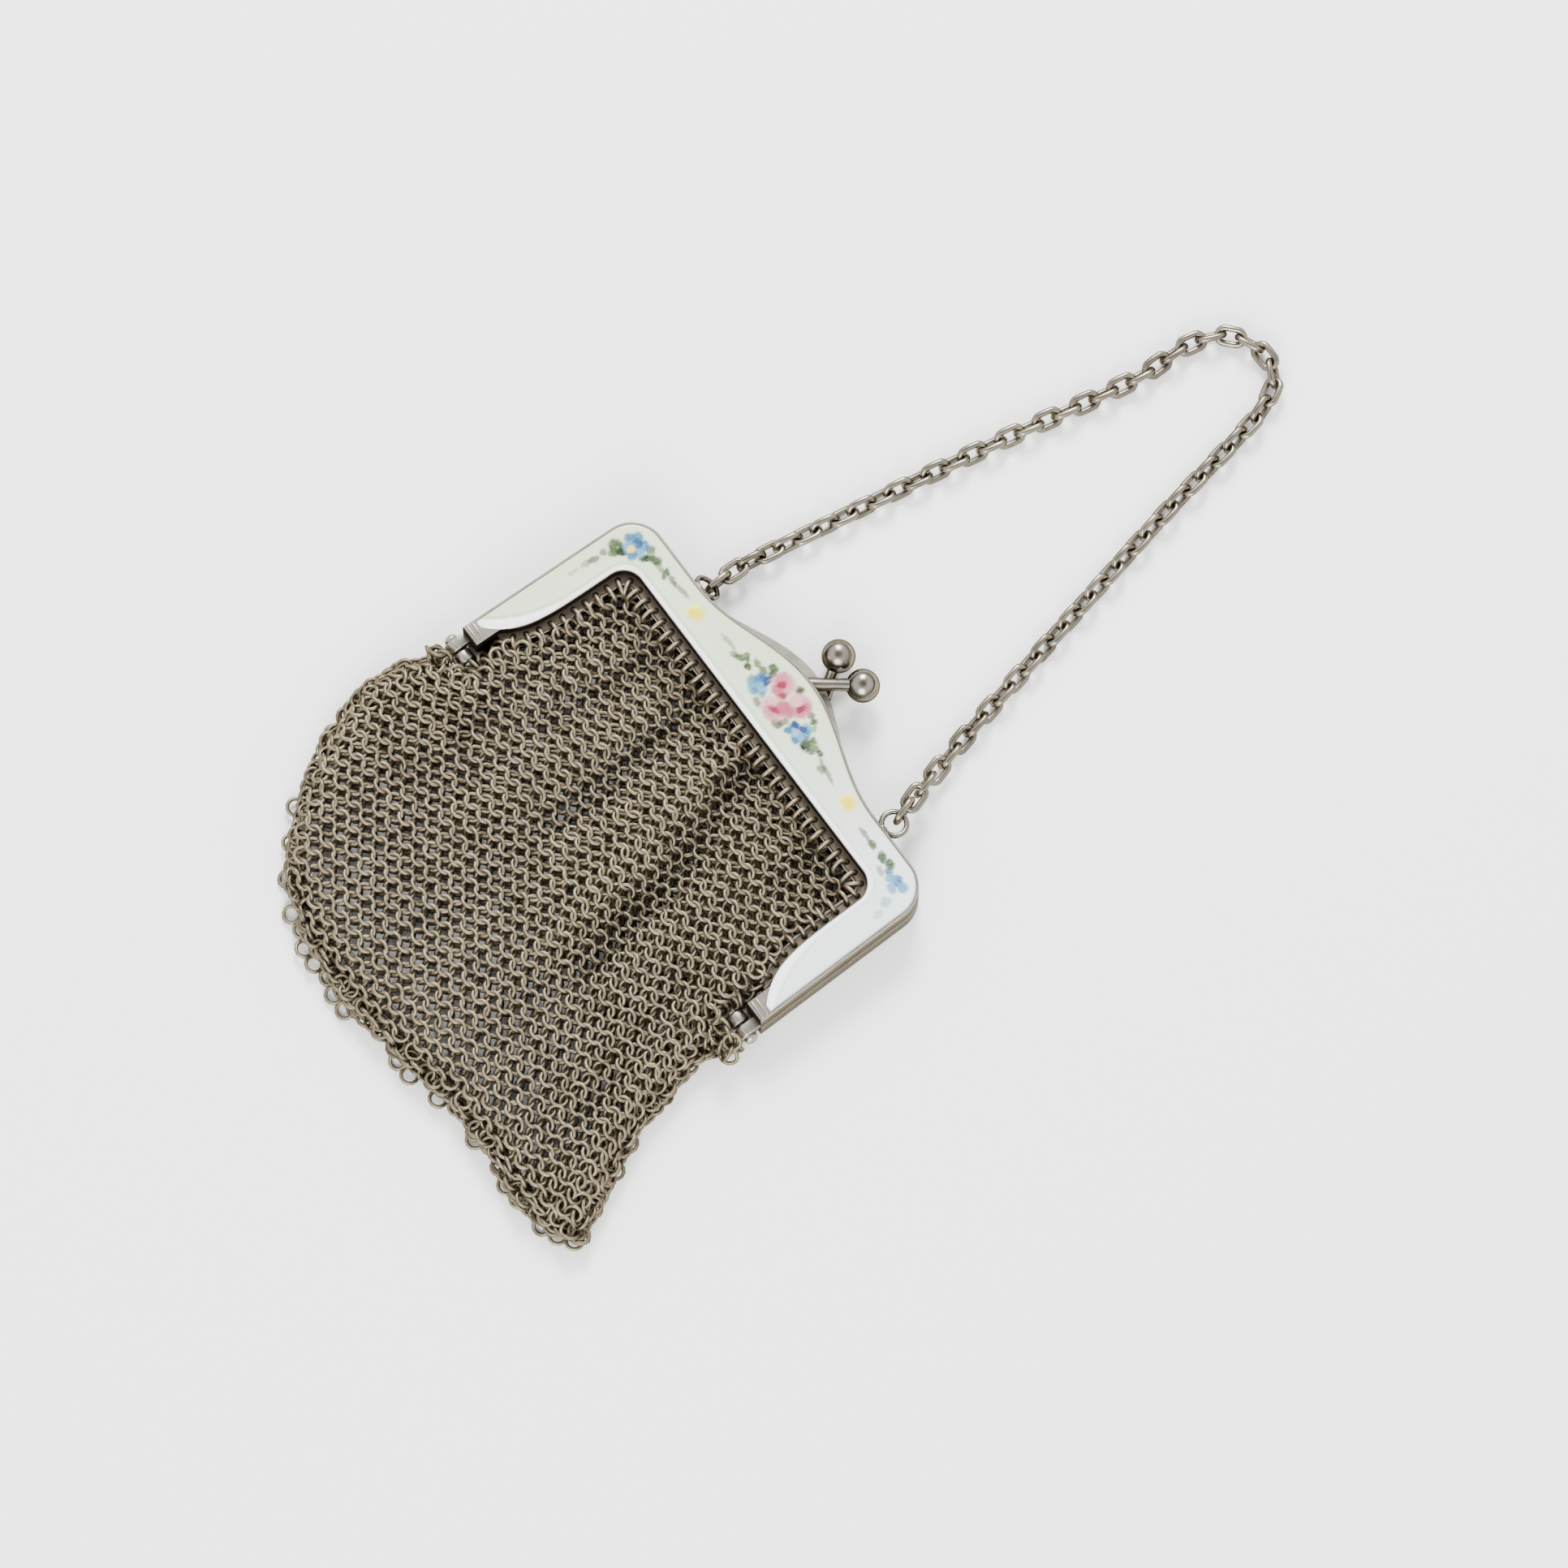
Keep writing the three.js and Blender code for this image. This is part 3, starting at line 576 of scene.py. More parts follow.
def noise_at(material, place, scale, detail=3.0, roughness=0.55):
    """Noise of a size given in patches a metre."""
    inputs = {"Vector": place, "Scale": scale, "Detail": detail, "Roughness": roughness}
    return node(material, "ShaderNodeTexNoise", inputs).outputs["Fac"]


def silver(name, bright, dull, film, polish, grain=0.00002):
    """Silver with a patchy film of tarnish, fine worn specks and uneven polish, dull as painted shade where it faces
    down.
    """
    material, base = shader(name)
    place = coordinates(material)
    patches = ranged(material, noise_at(material, place, 260, 4), 0.35, 0.7)
    specks = ranged(material, noise_at(material, place, 1900, 3), 0.45, 0.75)
    haze = ranged(material, patches, 0, 1, 0, film, smooth=False)
    shade_and_wear = node(material, "ShaderNodeAttribute", attribute_name="shade_and_wear").outputs["Fac"]
    # Painted shade: the dull colour takes over where the surface faces down.
    colour = mixed(material, ranged(material, shade_and_wear, 0.1, 0.75, 0.9, 0), (*bright, 1), (*dull, 1))
    colour = mixed(material, haze, colour, (*dull, 1))
    colour = mixed(material, ranged(material, specks, 0, 1, 0, film * 0.5, smooth=False), colour, (*dull, 1))
    link(material, colour, base.inputs["Base Color"])
    base.inputs["Metallic"].default_value = 1
    base.inputs["Specular Tint"].default_value = EDGE_TINT
    rough = ranged(material, patches, 0, 1, polish, polish + 0.16, smooth=False)
    link(material, rough, base.inputs["Roughness"])
    height = noise_at(material, place, 3200, 4)
    bump = node(material, "ShaderNodeBump", {"Height": height, "Distance": grain, "Strength": 0.5})
    link(material, bump.outputs["Normal"], base.inputs["Normal"])
    return material


def shaded_worn_silver(name, bright, dull, polish):
    """Silver wire, dark where a ring lies deep or against another and bright where it stands out, as painted shade
    and light together with tarnish and rubbing.
    """
    material, base = shader(name)
    place = coordinates(material)
    shade_and_wear = node(material, "ShaderNodeAttribute", attribute_name="shade_and_wear").outputs["Fac"]
    shade_and_tone = node(material, "ShaderNodeAttribute", attribute_name="shade_and_tone").outputs["Fac"]
    patches = noise_at(material, place, 900, 3)
    # Painted light and shade, with random patches: the side of a ring that stands out is bright, its deep side dull.
    lifted = node(material, "ShaderNodeMath", {0: shade_and_wear, 1: patches}, operation="ADD").outputs[0]
    rubbed = ranged(material, lifted, 0.15, 1.15)
    colour = mixed(material, rubbed, (*dull, 1), (*bright, 1))
    # Painted light: each ring's light level darkens rings in the folds and in the back layer as a whole.
    shade = ranged(material, shade_and_tone, 0, 1, 0.25, 1.25, smooth=False)
    colour = mixed(material, 1.0, colour, shade, "MULTIPLY")
    link(material, colour, base.inputs["Base Color"])
    base.inputs["Metallic"].default_value = 1
    base.inputs["Specular Tint"].default_value = EDGE_TINT
    link(material, ranged(material, rubbed, 0, 1, polish + 0.2, polish, smooth=False), base.inputs["Roughness"])
    bump = node(material, "ShaderNodeBump", {"Height": patches, "Distance": 0.00003, "Strength": 0.4})
    link(material, bump.outputs["Normal"], base.inputs["Normal"])
    return material


def painted_enamel():
    """Glossy enamel that shows the ground and the garland painted on its points."""
    material, base = shader("painted_enamel")
    place = coordinates(material)
    # The paint holds the garland and the ground, with the painted highlight and shade of the margins.
    paint = node(material, "ShaderNodeAttribute", attribute_name="paint").outputs["Color"]
    cloud = ranged(material, noise_at(material, place, 120, 3), 0.3, 0.7)
    tint = mixed(material, cloud, (0.955, 0.965, 0.95, 1), (1, 1, 1, 1))
    link(material, mixed(material, 1.0, paint, tint, "MULTIPLY"), base.inputs["Base Color"])
    base.inputs["Roughness"].default_value = 0.09
    base.inputs["IOR"].default_value = 1.55
    base.inputs["Coat Weight"].default_value = 0.5
    base.inputs["Coat Roughness"].default_value = 0.04
    pits = noise_at(material, place, 700, 2)
    bump = node(material, "ShaderNodeBump", {"Height": pits, "Distance": 0.00004, "Strength": 0.2})
    link(material, bump.outputs["Normal"], base.inputs["Normal"])
    return material


# ---------------------------------------------------------------- shapes


def finished(name, bm, materials, replaces=(), sharp=35):
    """Turns a shape made in millimetres into a piece that rides with the purse."""
    bmesh.ops.recalc_face_normals(bm, faces=bm.faces)
    bmesh.ops.scale(bm, verts=bm.verts, vec=(MM, MM, MM))
    mesh = bpy.data.meshes.new(name)
    bm.to_mesh(mesh)
    bm.free()
    for material in materials:
        mesh.materials.append(material)
    mesh.shade_smooth()
    mesh.set_sharp_from_angle(angle=math.radians(sharp))
    # Painted shade: faces that turn down get low values and the dull colour, faces that turn up stay bright.
    normals = np.empty(len(mesh.vertices) * 3)
    mesh.vertex_normals.foreach_get("vector", normals)
    shade_and_wear = mesh.attributes.new("shade_and_wear", "FLOAT", "POINT")
    shade_and_wear.data.foreach_set("value", normals[2::3] * 0.5 + 0.5)
    piece = bpy.data.objects.new(name, mesh)
    bpy.context.scene.collection.objects.link(piece)
    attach(piece, "root")
    if replaces:
        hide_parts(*replaces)
    return piece


def arc(x, y, radius, start, end, steps):
    """Points on an arc, both ends included."""
    angles = [math.radians(start + (end - start) * i / steps) for i in range(steps + 1)]
    return [(x + radius * math.cos(a), y + radius * math.sin(a)) for a in angles]


def mirrored(points):
    """The same points on the other side, in the other order."""
    return [(-x, y) for x, y in reversed(points)]


def rail_edge(x, hump):
    """Height of the rail's outer edge, with its hump."""
    height, shift = hump
    way = min(1.0, max(-1.0, (x - shift) / (HUMP_SPAN / 2)))
    return RAIL_TOP + height / 2 * (1 + math.cos(math.pi * way))


def arm_outside(y):
    """Outer edge of an arm."""
    return HALF_WIDTH + ARM_FLARE * (RAIL_TOP - y) / ARM_REACH


def arm_inside(y, end_width):
    """Inner edge of an arm, which curves out towards the enamel's tip."""
    way = max(0.0, (RAIL_BOTTOM - y) / (RAIL_BOTTOM - ENAMEL_TIP))
    width = ARM_WIDTH - (ARM_WIDTH - TIP_WIDTH) * way**TIP_CURVE
    return arm_outside(y) - max(width, end_width)


def outer_edge(hump, inset, end):
    """Outer edge of a half, from the left arm's end to the right arm's end."""
    centre = (HALF_WIDTH - SHOULDER_RADIUS, RAIL_TOP - SHOULDER_RADIUS)
    side = arc(*centre, SHOULDER_RADIUS - inset, 90, 0, 14)
    straight = [side[-1][1] + (end - side[-1][1]) * i / 10 for i in range(1, 11)]
    reach = side[-1][0]
    foot = arm_outside(end) - inset
    side += [(reach + (foot - reach) * (i + 1) / 10, y) for i, y in enumerate(straight)]
    rise = [hump[1] + HUMP_SPAN * (i / 60 - 0.5) for i in range(61)]
    return [*mirrored(side), *[(x, rail_edge(x, hump) - inset) for x in rise], *side]


def inner_edge(outset, end, end_width):
    """Inner edge of a half, from the right arm up, along the rail and down the left arm."""
    corner = RAIL_BOTTOM - CORNER_RADIUS
    levels = [corner + (end - corner) * math.sqrt(1 - i / 24) for i in range(24)]
    right = [(arm_inside(y, end_width) + outset, y) for y in levels]
    centre = arm_inside(corner, end_width) - CORNER_RADIUS
    right += arc(centre, corner, CORNER_RADIUS + outset, 0, 90, 10)
    return [*right, *mirrored(right)]


def band(hump, outer_inset, inner_outset, end, end_width):
    """The broad band of a half as one closed outline."""
    return [*outer_edge(hump, outer_inset, end), *inner_edge(inner_outset, end, end_width)]


def add_loop(bm, points, height):
    """A closed loop of edges through points at a height."""
    loop = bmesh.ops.create_circle(bm, segments=len(points), radius=1)["verts"]
    for vert, (x, y) in zip(loop, points):
        vert.co = (x, y, height)
    return loop, list({edge for vert in loop for edge in vert.link_edges})


def lofted(bm, levels):
    """Skins a stack of outlines point by point, each given with its height, and closes both ends."""
    loops = [add_loop(bm, points, height) for points, height in levels]
    for (low, _), (high, _) in zip(loops, loops[1:]):
        for i in range(len(low)):
            bm.faces.new((low[i - 1], low[i], high[i], high[i - 1]))
    for _, edges in (loops[0], loops[-1]):
        bmesh.ops.triangle_fill(bm, use_beauty=True, edges=edges)


def tube(bm, path, diameters, sides):
    """A round bar along a path, closed at both ends."""
    points = [Vector(p) for p in path]
    rings = []
    for i, point in enumerate(points):
        along = (points[min(i + 1, len(points) - 1)] - points[max(i - 1, 0)]).normalized()
        place = Matrix.Translation(point) @ along.to_track_quat("Z", "Y").to_matrix().to_4x4()
        caps = i in (0, len(points) - 1)
        loop = bmesh.ops.create_circle(
            bm, segments=sides, radius=diameters[i] / 2, matrix=place, cap_ends=caps
        )["verts"]
        rings.append([e for e in {e for v in loop for e in v.link_edges}])
    for low, high in zip(rings, rings[1:]):
        bmesh.ops.bridge_loops(bm, edges=low + high)


def ring_template(diameter, wire, steps, sides, stretch=0.0):
    """Mesh of one wire ring in its own XY plane, drawn out along X where it is a link."""
    bm = bmesh.new()
    radius = (diameter - wire) / 2
    place = Matrix.Translation((radius, 0, 0)) @ Matrix.Rotation(math.pi / 2, 4, "X")
    section = bmesh.ops.create_circle(bm, segments=sides, radius=wire / 2, matrix=place)["verts"]
    edges = list({edge for vert in section for edge in vert.link_edges})
    bmesh.ops.spin(
        bm, geom=[*section, *edges], cent=(0, 0, 0), axis=(0, 0, 1), angle=TURN, steps=steps, use_merge=True
    )
    bmesh.ops.remove_doubles(bm, verts=bm.verts, dist=wire / 100)
    if stretch:
        for vert in bm.verts:
            vert.co.x += stretch * min(1.0, max(-1.0, vert.co.x / radius * 4))
    bmesh.ops.recalc_face_normals(bm, faces=bm.faces)
    mesh = bpy.data.meshes.new("ring")
    bm.to_mesh(mesh)
    bm.free()
    return mesh


def ringed(name, template, places, material, replaces=(), seed=7):
    """One piece of many rings, each with its place, the direction that is made bright by painted light and rubbing,
    and its painted light level.
    """
    bm = bmesh.new()
    count = len(template.vertices)
    for place, *_ in places:
        ring = template.copy()
        ring.transform(place)
        bm.from_mesh(ring)
        bpy.data.meshes.remove(ring)
    bmesh.ops.scale(bm, verts=bm.verts, vec=(MM, MM, MM))
    mesh = bpy.data.meshes.new(name)
    bm.to_mesh(mesh)
    bm.free()
    mesh.materials.append(material)
    mesh.shade_smooth()
    points = np.empty(len(mesh.vertices) * 3)
    mesh.vertices.foreach_get("co", points)
    points = points.reshape(len(places), count, 3)
    centres = np.array([place.translation[:] for place, *_ in places]) * MM
    normals = np.array([normal[:] for _, normal, _ in places])
    # Painted light and rubbing: the side of each ring towards its direction is bright, the far side dark.
    lift = np.einsum("rvk,rk->rv", points - centres[:, None], normals)
    lift /= np.abs(lift).max(axis=1, keepdims=True) + 1e-9
    shade_and_wear = mesh.attributes.new("shade_and_wear", "FLOAT", "POINT")
    shade_and_wear.data.foreach_set("value", (lift * 0.5 + 0.5).ravel())
    # Painted light: each ring's light level, spread a little at random.
    light = np.array([light for *_, light in places])
    light = light + np.random.default_rng(seed).normal(0, 0.1, len(places))
    shade_and_tone = mesh.attributes.new("shade_and_tone", "FLOAT", "POINT")
    shade_and_tone.data.foreach_set("value", np.repeat(light, count))
    piece = bpy.data.objects.new(name, mesh)
    bpy.context.scene.collection.objects.link(piece)
    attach(piece, "root")
    if replaces:
        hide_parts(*replaces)
    return piece


# ---------------------------------------------------------------- frame


def half_levels(hump, sign, base):
    """Outlines of one half from inside its hollow, over the parting line, to its face."""
    edge = settings("purse_frame").edge / MM

    def shell(inset, height):
        return band(hump, inset, inset, ARM_END + inset, ARM_END_WIDTH), base + sign * height

    hollow = band(FRONT_HUMP, WALL, WALL, ARM_END + WALL, ARM_END_WIDTH)
    return [
        (hollow, base + sign * (HALF_DEPTH - PLATE)),
        (hollow, base),
        shell(edge / 2, 0),
        shell(0, edge / 2),
        shell(0, HALF_DEPTH - 1.6 * edge),
        shell(0.3 * edge, HALF_DEPTH - 0.6 * edge),
        shell(edge, HALF_DEPTH),
    ]


def hole_places():
    """Centre and inward direction of each hole along the pierced strip."""
    path = [Vector(p) for p in inner_edge(-FLANGE_WIDTH / 2, FLANGE_END, ARM_END_WIDTH)]
    lengths = [0.0]
    for a, b in zip(path, path[1:]):
        lengths.append(lengths[-1] + (b - a).length)
    count = math.floor(lengths[-1] / HOLE_PITCH)
    places = []
    for i in range(1, count):
        target = lengths[-1] * i / count
        upper = next(k for k, length in enumerate(lengths) if length >= target)
        a, b = path[upper - 1], path[upper]
        share = (target - lengths[upper - 1]) / (lengths[upper] - lengths[upper - 1])
        along = (b - a).normalized()
        places.append((a.lerp(b, share), Vector((-along.y, along.x))))
    return places


def add_flange(bm, low):
    """The pierced strip inside a half, its holes cut through."""
    outline = [
        *inner_edge(-FLANGE_WIDTH, FLANGE_END, ARM_END_WIDTH),
        *reversed(inner_edge(WALL / 2, FLANGE_END, ARM_END_WIDTH)),
    ]
    edges = add_loop(bm, outline, low)[1]
    for centre, _ in hole_places():
        edges += add_loop(bm, arc(*centre, HOLE_DIAMETER / 2, 0, 330, 11), low)[1]
    faces = bmesh.ops.triangle_fill(bm, use_beauty=True, edges=edges)["geom"]
    faces = [f for f in faces if isinstance(f, bmesh.types.BMFace)]
    raised = bmesh.ops.extrude_face_region(bm, geom=faces, use_keep_orig=True)["geom"]
    verts = [v for v in raised if isinstance(v, bmesh.types.BMVert)]
    bmesh.ops.translate(bm, verts=verts, vec=(0, 0, FLANGE_THICK))


def add_knuckles(bm, start, sign):
    """A rounded knuckle and its lug on each arm, from start towards the inside."""
    middle = start - KNUCKLE_LENGTH / 2
    for side in (-1, 1):
        place = Matrix.Translation((side * middle, HINGE_Y, HINGE_Z))
        barrel = bmesh.ops.create_cone(
            bm,
            cap_ends=True,
            segments=32,
            radius1=KNUCKLE_DIAMETER / 2,
            radius2=KNUCKLE_DIAMETER / 2,
            depth=KNUCKLE_LENGTH,
            matrix=place @ Matrix.Rotation(math.pi / 2, 4, "Y"),
        )["verts"]
        rims = {e for v in barrel for e in v.link_edges if e.calc_face_angle(0) > 1}
        bmesh.ops.bevel(
            bm, geom=list(rims), offset=0.25, segments=3, profile=0.5, affect="EDGES", material=-1
        )
        length = ARM_END + WALL / 2 - HINGE_Y
        size = (KNUCKLE_LENGTH - 0.1, length, LUG_THICK)
        centre = (side * middle, HINGE_Y + length / 2, HINGE_Z + sign * (0.15 + LUG_THICK / 2))
        add_block(bm, centre, size, 0.15)


def add_block(bm, centre, size, rounding):
    """A block with rounded edges."""
    place = Matrix.Translation(centre) @ Matrix.Diagonal((*size, 1))
    cube = bmesh.ops.create_cube(bm, size=1, matrix=place)["verts"]
    edges = list({edge for vert in cube for edge in vert.link_edges})
    bmesh.ops.bevel(
        bm, geom=edges, offset=rounding, segments=3, profile=0.5, affect="EDGES", material=-1
    )


def add_clasp(bm, root, ball):
    """A clasp ball on its curved stem."""
    before = set(bm.faces)
    root, ball = Vector(root), Vector(ball)
    bend = Vector((*root.lerp(ball, 0.5).xy, root.z))
    path = [root.lerp(bend, t).lerp(bend.lerp(ball, t), t) for t in [i / 10 for i in range(11)]]
    widths = [STEM_DIAMETER * (1.45 - 0.35 * math.sin(math.pi * i / 10)) for i in range(11)]
    tube(bm, path, widths, 20)
    bmesh.ops.create_uvsphere(
        bm, u_segments=40, v_segments=24, radius=BALL_DIAMETER / 2, matrix=Matrix.Translation(ball)
    )
    for face in set(bm.faces) - before:
        face.material_index = 2


def loop_place(loop):
    """Centre of a chain loop and its plane."""
    lean = math.radians(loop["lean"])
    radius = (LOOP_DIAMETER - LOOP_WIRE) / 2
    centre = Vector((loop["x"], LOOP_FOOT[0], LOOP_FOOT[1]))
    centre += Vector((0, math.cos(lean), math.sin(lean))) * radius
    return centre, lean, radius


def shade_mouth_walls(bm):
    """Gives the dull metal to the walls that face the mouth, as painted shade in the gap under the face."""
    for face in bm.faces:
        centre = face.calc_center_median()
        inward = abs(centre.x) < arm_inside(centre.y, 0) + 0.45 and centre.y < RAIL_BOTTOM + 0.45
        if inward and centre.z < FRONT_FACE - 0.02:
            face.material_index = 1


def frame_materials():
    """Bright silver of the frame, its dark silver painted as shade on the walls at the mouth, and the darker clasp
    silver, made once.
    """
    metal = settings("purse_frame")
    bright = bpy.data.materials.get("frame_silver")
    dull = bpy.data.materials.get("mouth_shade_silver")
    bright = bright or silver("frame_silver", metal.metal, metal.tarnish_and_shade, 0.45, 0.27)
    dull = dull or silver("mouth_shade_silver", metal.tarnish_and_shade, (0.03, 0.025, 0.02), 0.8, 0.35)
    clasp = bpy.data.materials.get("clasp_silver")
    clasp = clasp or silver("clasp_silver", metal.clasp, metal.tarnish_and_shade, 0.5, 0.15)
    return [bright, dull, clasp]


def strip(name, low):
    """The pierced strip of a half."""
    metal = settings("purse_frame")
    made = bpy.data.materials.get("strip_silver")
    made = made or silver("strip_silver", metal.strip, (0.05, 0.042, 0.03), 0.7, 0.36)
    bm = bmesh.new()
    add_flange(bm, low)
    rolled = [(x, y, low + FLANGE_THICK) for x, y in inner_edge(-FLANGE_WIDTH, FLANGE_END, ARM_END_WIDTH)]
    before = set(bm.faces)
    tube(bm, rolled, [STRIP_EDGE] * len(rolled), 8)
    for face in set(bm.faces) - before:
        face.material_index = 1
    finished(name, bm, [made, frame_materials()[2]])


class PURSE_OT_back_frame(bpy.types.Operator):
    """Builds the back half of the snap frame, with its clasp ball and inner knuckles."""

    bl_idname = "purse.back_frame"
    bl_label = "Back half of the frame"

    def execute(self, context):
        bm = bmesh.new()
        lofted(bm, half_levels(BACK_HUMP, -1, HALF_DEPTH))
        shade_mouth_walls(bm)
        add_knuckles(bm, KNUCKLE_OUTSIDE - KNUCKLE_LENGTH - KNUCKLE_GAP, -1)
        add_clasp(bm, BACK_STEM_ROOT, BACK_BALL)
        finished("back_half", bm, frame_materials(), ("back_frame",))
        strip("pierced_strip_back", BACK_FLANGE)
        return {"FINISHED"}


class PURSE_OT_front_frame(bpy.types.Operator):
    """Builds the front half with the recess for the enamel, ribs, loops, clasp ball and outer knuckles."""

    bl_idname = "purse.front_frame"
    bl_label = "Front half of the frame"

    def execute(self, context):
        bm = bmesh.new()
        edge = settings("purse_frame").edge / MM

        def recess(inset, height):
            outline = band(FRONT_HUMP, RIM + inset, INNER_RIM + inset, ENAMEL_TIP + inset, 0)
            return outline, FRONT_FACE + height

        levels = half_levels(FRONT_HUMP, 1, FRONT_BASE)[:-1]
        levels += [
            (band(FRONT_HUMP, edge, 0.4 * edge, ARM_END + edge, ARM_END_WIDTH), FRONT_FACE),
            recess(-0.03, 0),
            recess(0, -edge / 2),
            recess(0, -RECESS_DEPTH),
        ]
        lofted(bm, levels)
        shade_mouth_walls(bm)
        add_knuckles(bm, KNUCKLE_OUTSIDE, 1)
        add_clasp(bm, FRONT_STEM_ROOT, FRONT_BALL)
        for side in (-1, 1):
            for y in (ENAMEL_TIP - 0.55, ENAMEL_TIP - 1.35):
                x = side * (arm_outside(y) - ARM_END_WIDTH / 2)
                add_block(bm, (x, y, FRONT_FACE), (ARM_END_WIDTH - 0.5, 0.42, 0.36), 0.17)
        template = ring_template(LOOP_DIAMETER, LOOP_WIRE, 36, 12)
        before = set(bm.faces)
        for loop in LOOPS:
            centre, lean, _ = loop_place(loop)
            ring = template.copy()
            ring.transform(Matrix.Translation(centre) @ Matrix.Rotation(lean, 4, "X"))
            bm.from_mesh(ring)
            add_block(bm, (loop["x"], *LOOP_FOOT), (1.7, 0.9, 1.3), 0.3)
        for face in set(bm.faces) - before:
            face.material_index = 2
        finished("front_half", bm, frame_materials(), ("front_frame",))
        strip("pierced_strip_front", FRONT_FLANGE)
        return {"FINISHED"}


class PURSE_OT_rivets(bpy.types.Operator):
    """Builds the domed rivets of the two hinges."""

    bl_idname = "purse.rivets"
    bl_label = "Hinge rivets"

    def execute(self, context):
        inside = KNUCKLE_OUTSIDE - 2 * KNUCKLE_LENGTH - 2 * KNUCKLE_GAP
        outside = KNUCKLE_OUTSIDE + KNUCKLE_GAP
        for name, side in (("hinge_pin_right", 1), ("hinge_pin_left", -1)):
            bm = bmesh.new()
            for x in (inside, outside):
                place = Matrix.Translation((side * x, HINGE_Y, HINGE_Z)) @ Matrix.Diagonal((0.7, 1, 1, 1))
                bmesh.ops.create_uvsphere(
                    bm,
                    u_segments=24,
                    v_segments=14,
                    radius=PIN_HEAD / 2,
                    matrix=place @ Matrix.Rotation(math.pi / 2, 4, "Y"),
                )
            path = [(side * inside, HINGE_Y, HINGE_Z), (side * outside, HINGE_Y, HINGE_Z)]
            tube(bm, path, (0.9, 0.9), 16)
            finished(f"rivet_{name[10:]}", bm, frame_materials()[:1], (name,))
        return {"FINISHED"}


def enamel_rungs():
    """Lines across the band, each from its outer to its inner margin, with the way up from the tip."""
    outset = RIM + 0.02
    inner = INNER_RIM + 0.02
    shoulder = (HALF_WIDTH - SHOULDER_RADIUS, RAIL_TOP - SHOULDER_RADIUS)
    corner_y = RAIL_BOTTOM - CORNER_RADIUS
    corner = (arm_inside(corner_y, 0) - CORNER_RADIUS, corner_y)
    tip = ENAMEL_TIP + 0.02
    side = []
    for i in range(ARM_RUNGS):
        way = i / ARM_RUNGS
        outer_y, inner_y = tip + (shoulder[1] - tip) * way, tip + (corner[1] - tip) * way
        foot = arm_outside(ENAMEL_TIP)
        outer_x = foot + (HALF_WIDTH - foot) * (outer_y - ENAMEL_TIP) / (shoulder[1] - ENAMEL_TIP)
        side.append(((outer_x - outset, outer_y), (arm_inside(inner_y, 0) + inner, inner_y), outer_y - tip))
    outer_arc = arc(*shoulder, SHOULDER_RADIUS - outset, 0, 90, CORNER_RUNGS)
    inner_arc = arc(*corner, CORNER_RADIUS + inner, 0, 90, CORNER_RUNGS)
    side += [(a, b, -tip) for a, b in zip(outer_arc, inner_arc)]
    rail = []
    for i in range(1, RAIL_RUNGS):
        way = 1 - 2 * i / RAIL_RUNGS
        x = shoulder[0] * way
        rail.append(((x, rail_edge(x, FRONT_HUMP) - outset), (corner[0] * way, inner_arc[-1][1]), -tip))
    return [*side, *rail, *[((-a[0], a[1]), (-b[0], b[1]), up) for a, b, up in reversed(side)]]


def ground_colour(x, margin, outer, up):
    """Colour of the bare enamel: greenish on the left, white on the right, a painted highlight along its inner
    margin, a painted shade line beside it and painted shade at its outer edge.
    """
    enamel = settings("purse_enamel")
    right = min(1, max(0, (x - 4) / 24))
    colour = Vector(enamel.ground).lerp(Vector(enamel.ground_right), right)
    colour = colour.lerp(Vector((0.66, 0.67, 0.40)), 0.55 * (1 - right) * math.exp(-((outer / 1.3) ** 2)))
    # Painted highlight: white along the inner margin, wider towards the tips; then a painted shade line beside it
    # and painted shade along the outer edge.
    reach = 0.62 + 0.9 * min(1, max(0, (14 - up) / 10))
    white = min(1, max(0, (reach - margin) / 0.35 + 0.5))
    line = math.exp(-(((margin - reach - 0.35) / 0.16) ** 2)) * 0.24 * (1 - 0.6 * right)
    return colour.lerp(Vector((0.96, 0.96, 0.95)), white) * (1 - line) * (1 - 0.4 * math.exp(-((outer / 0.25) ** 2)))


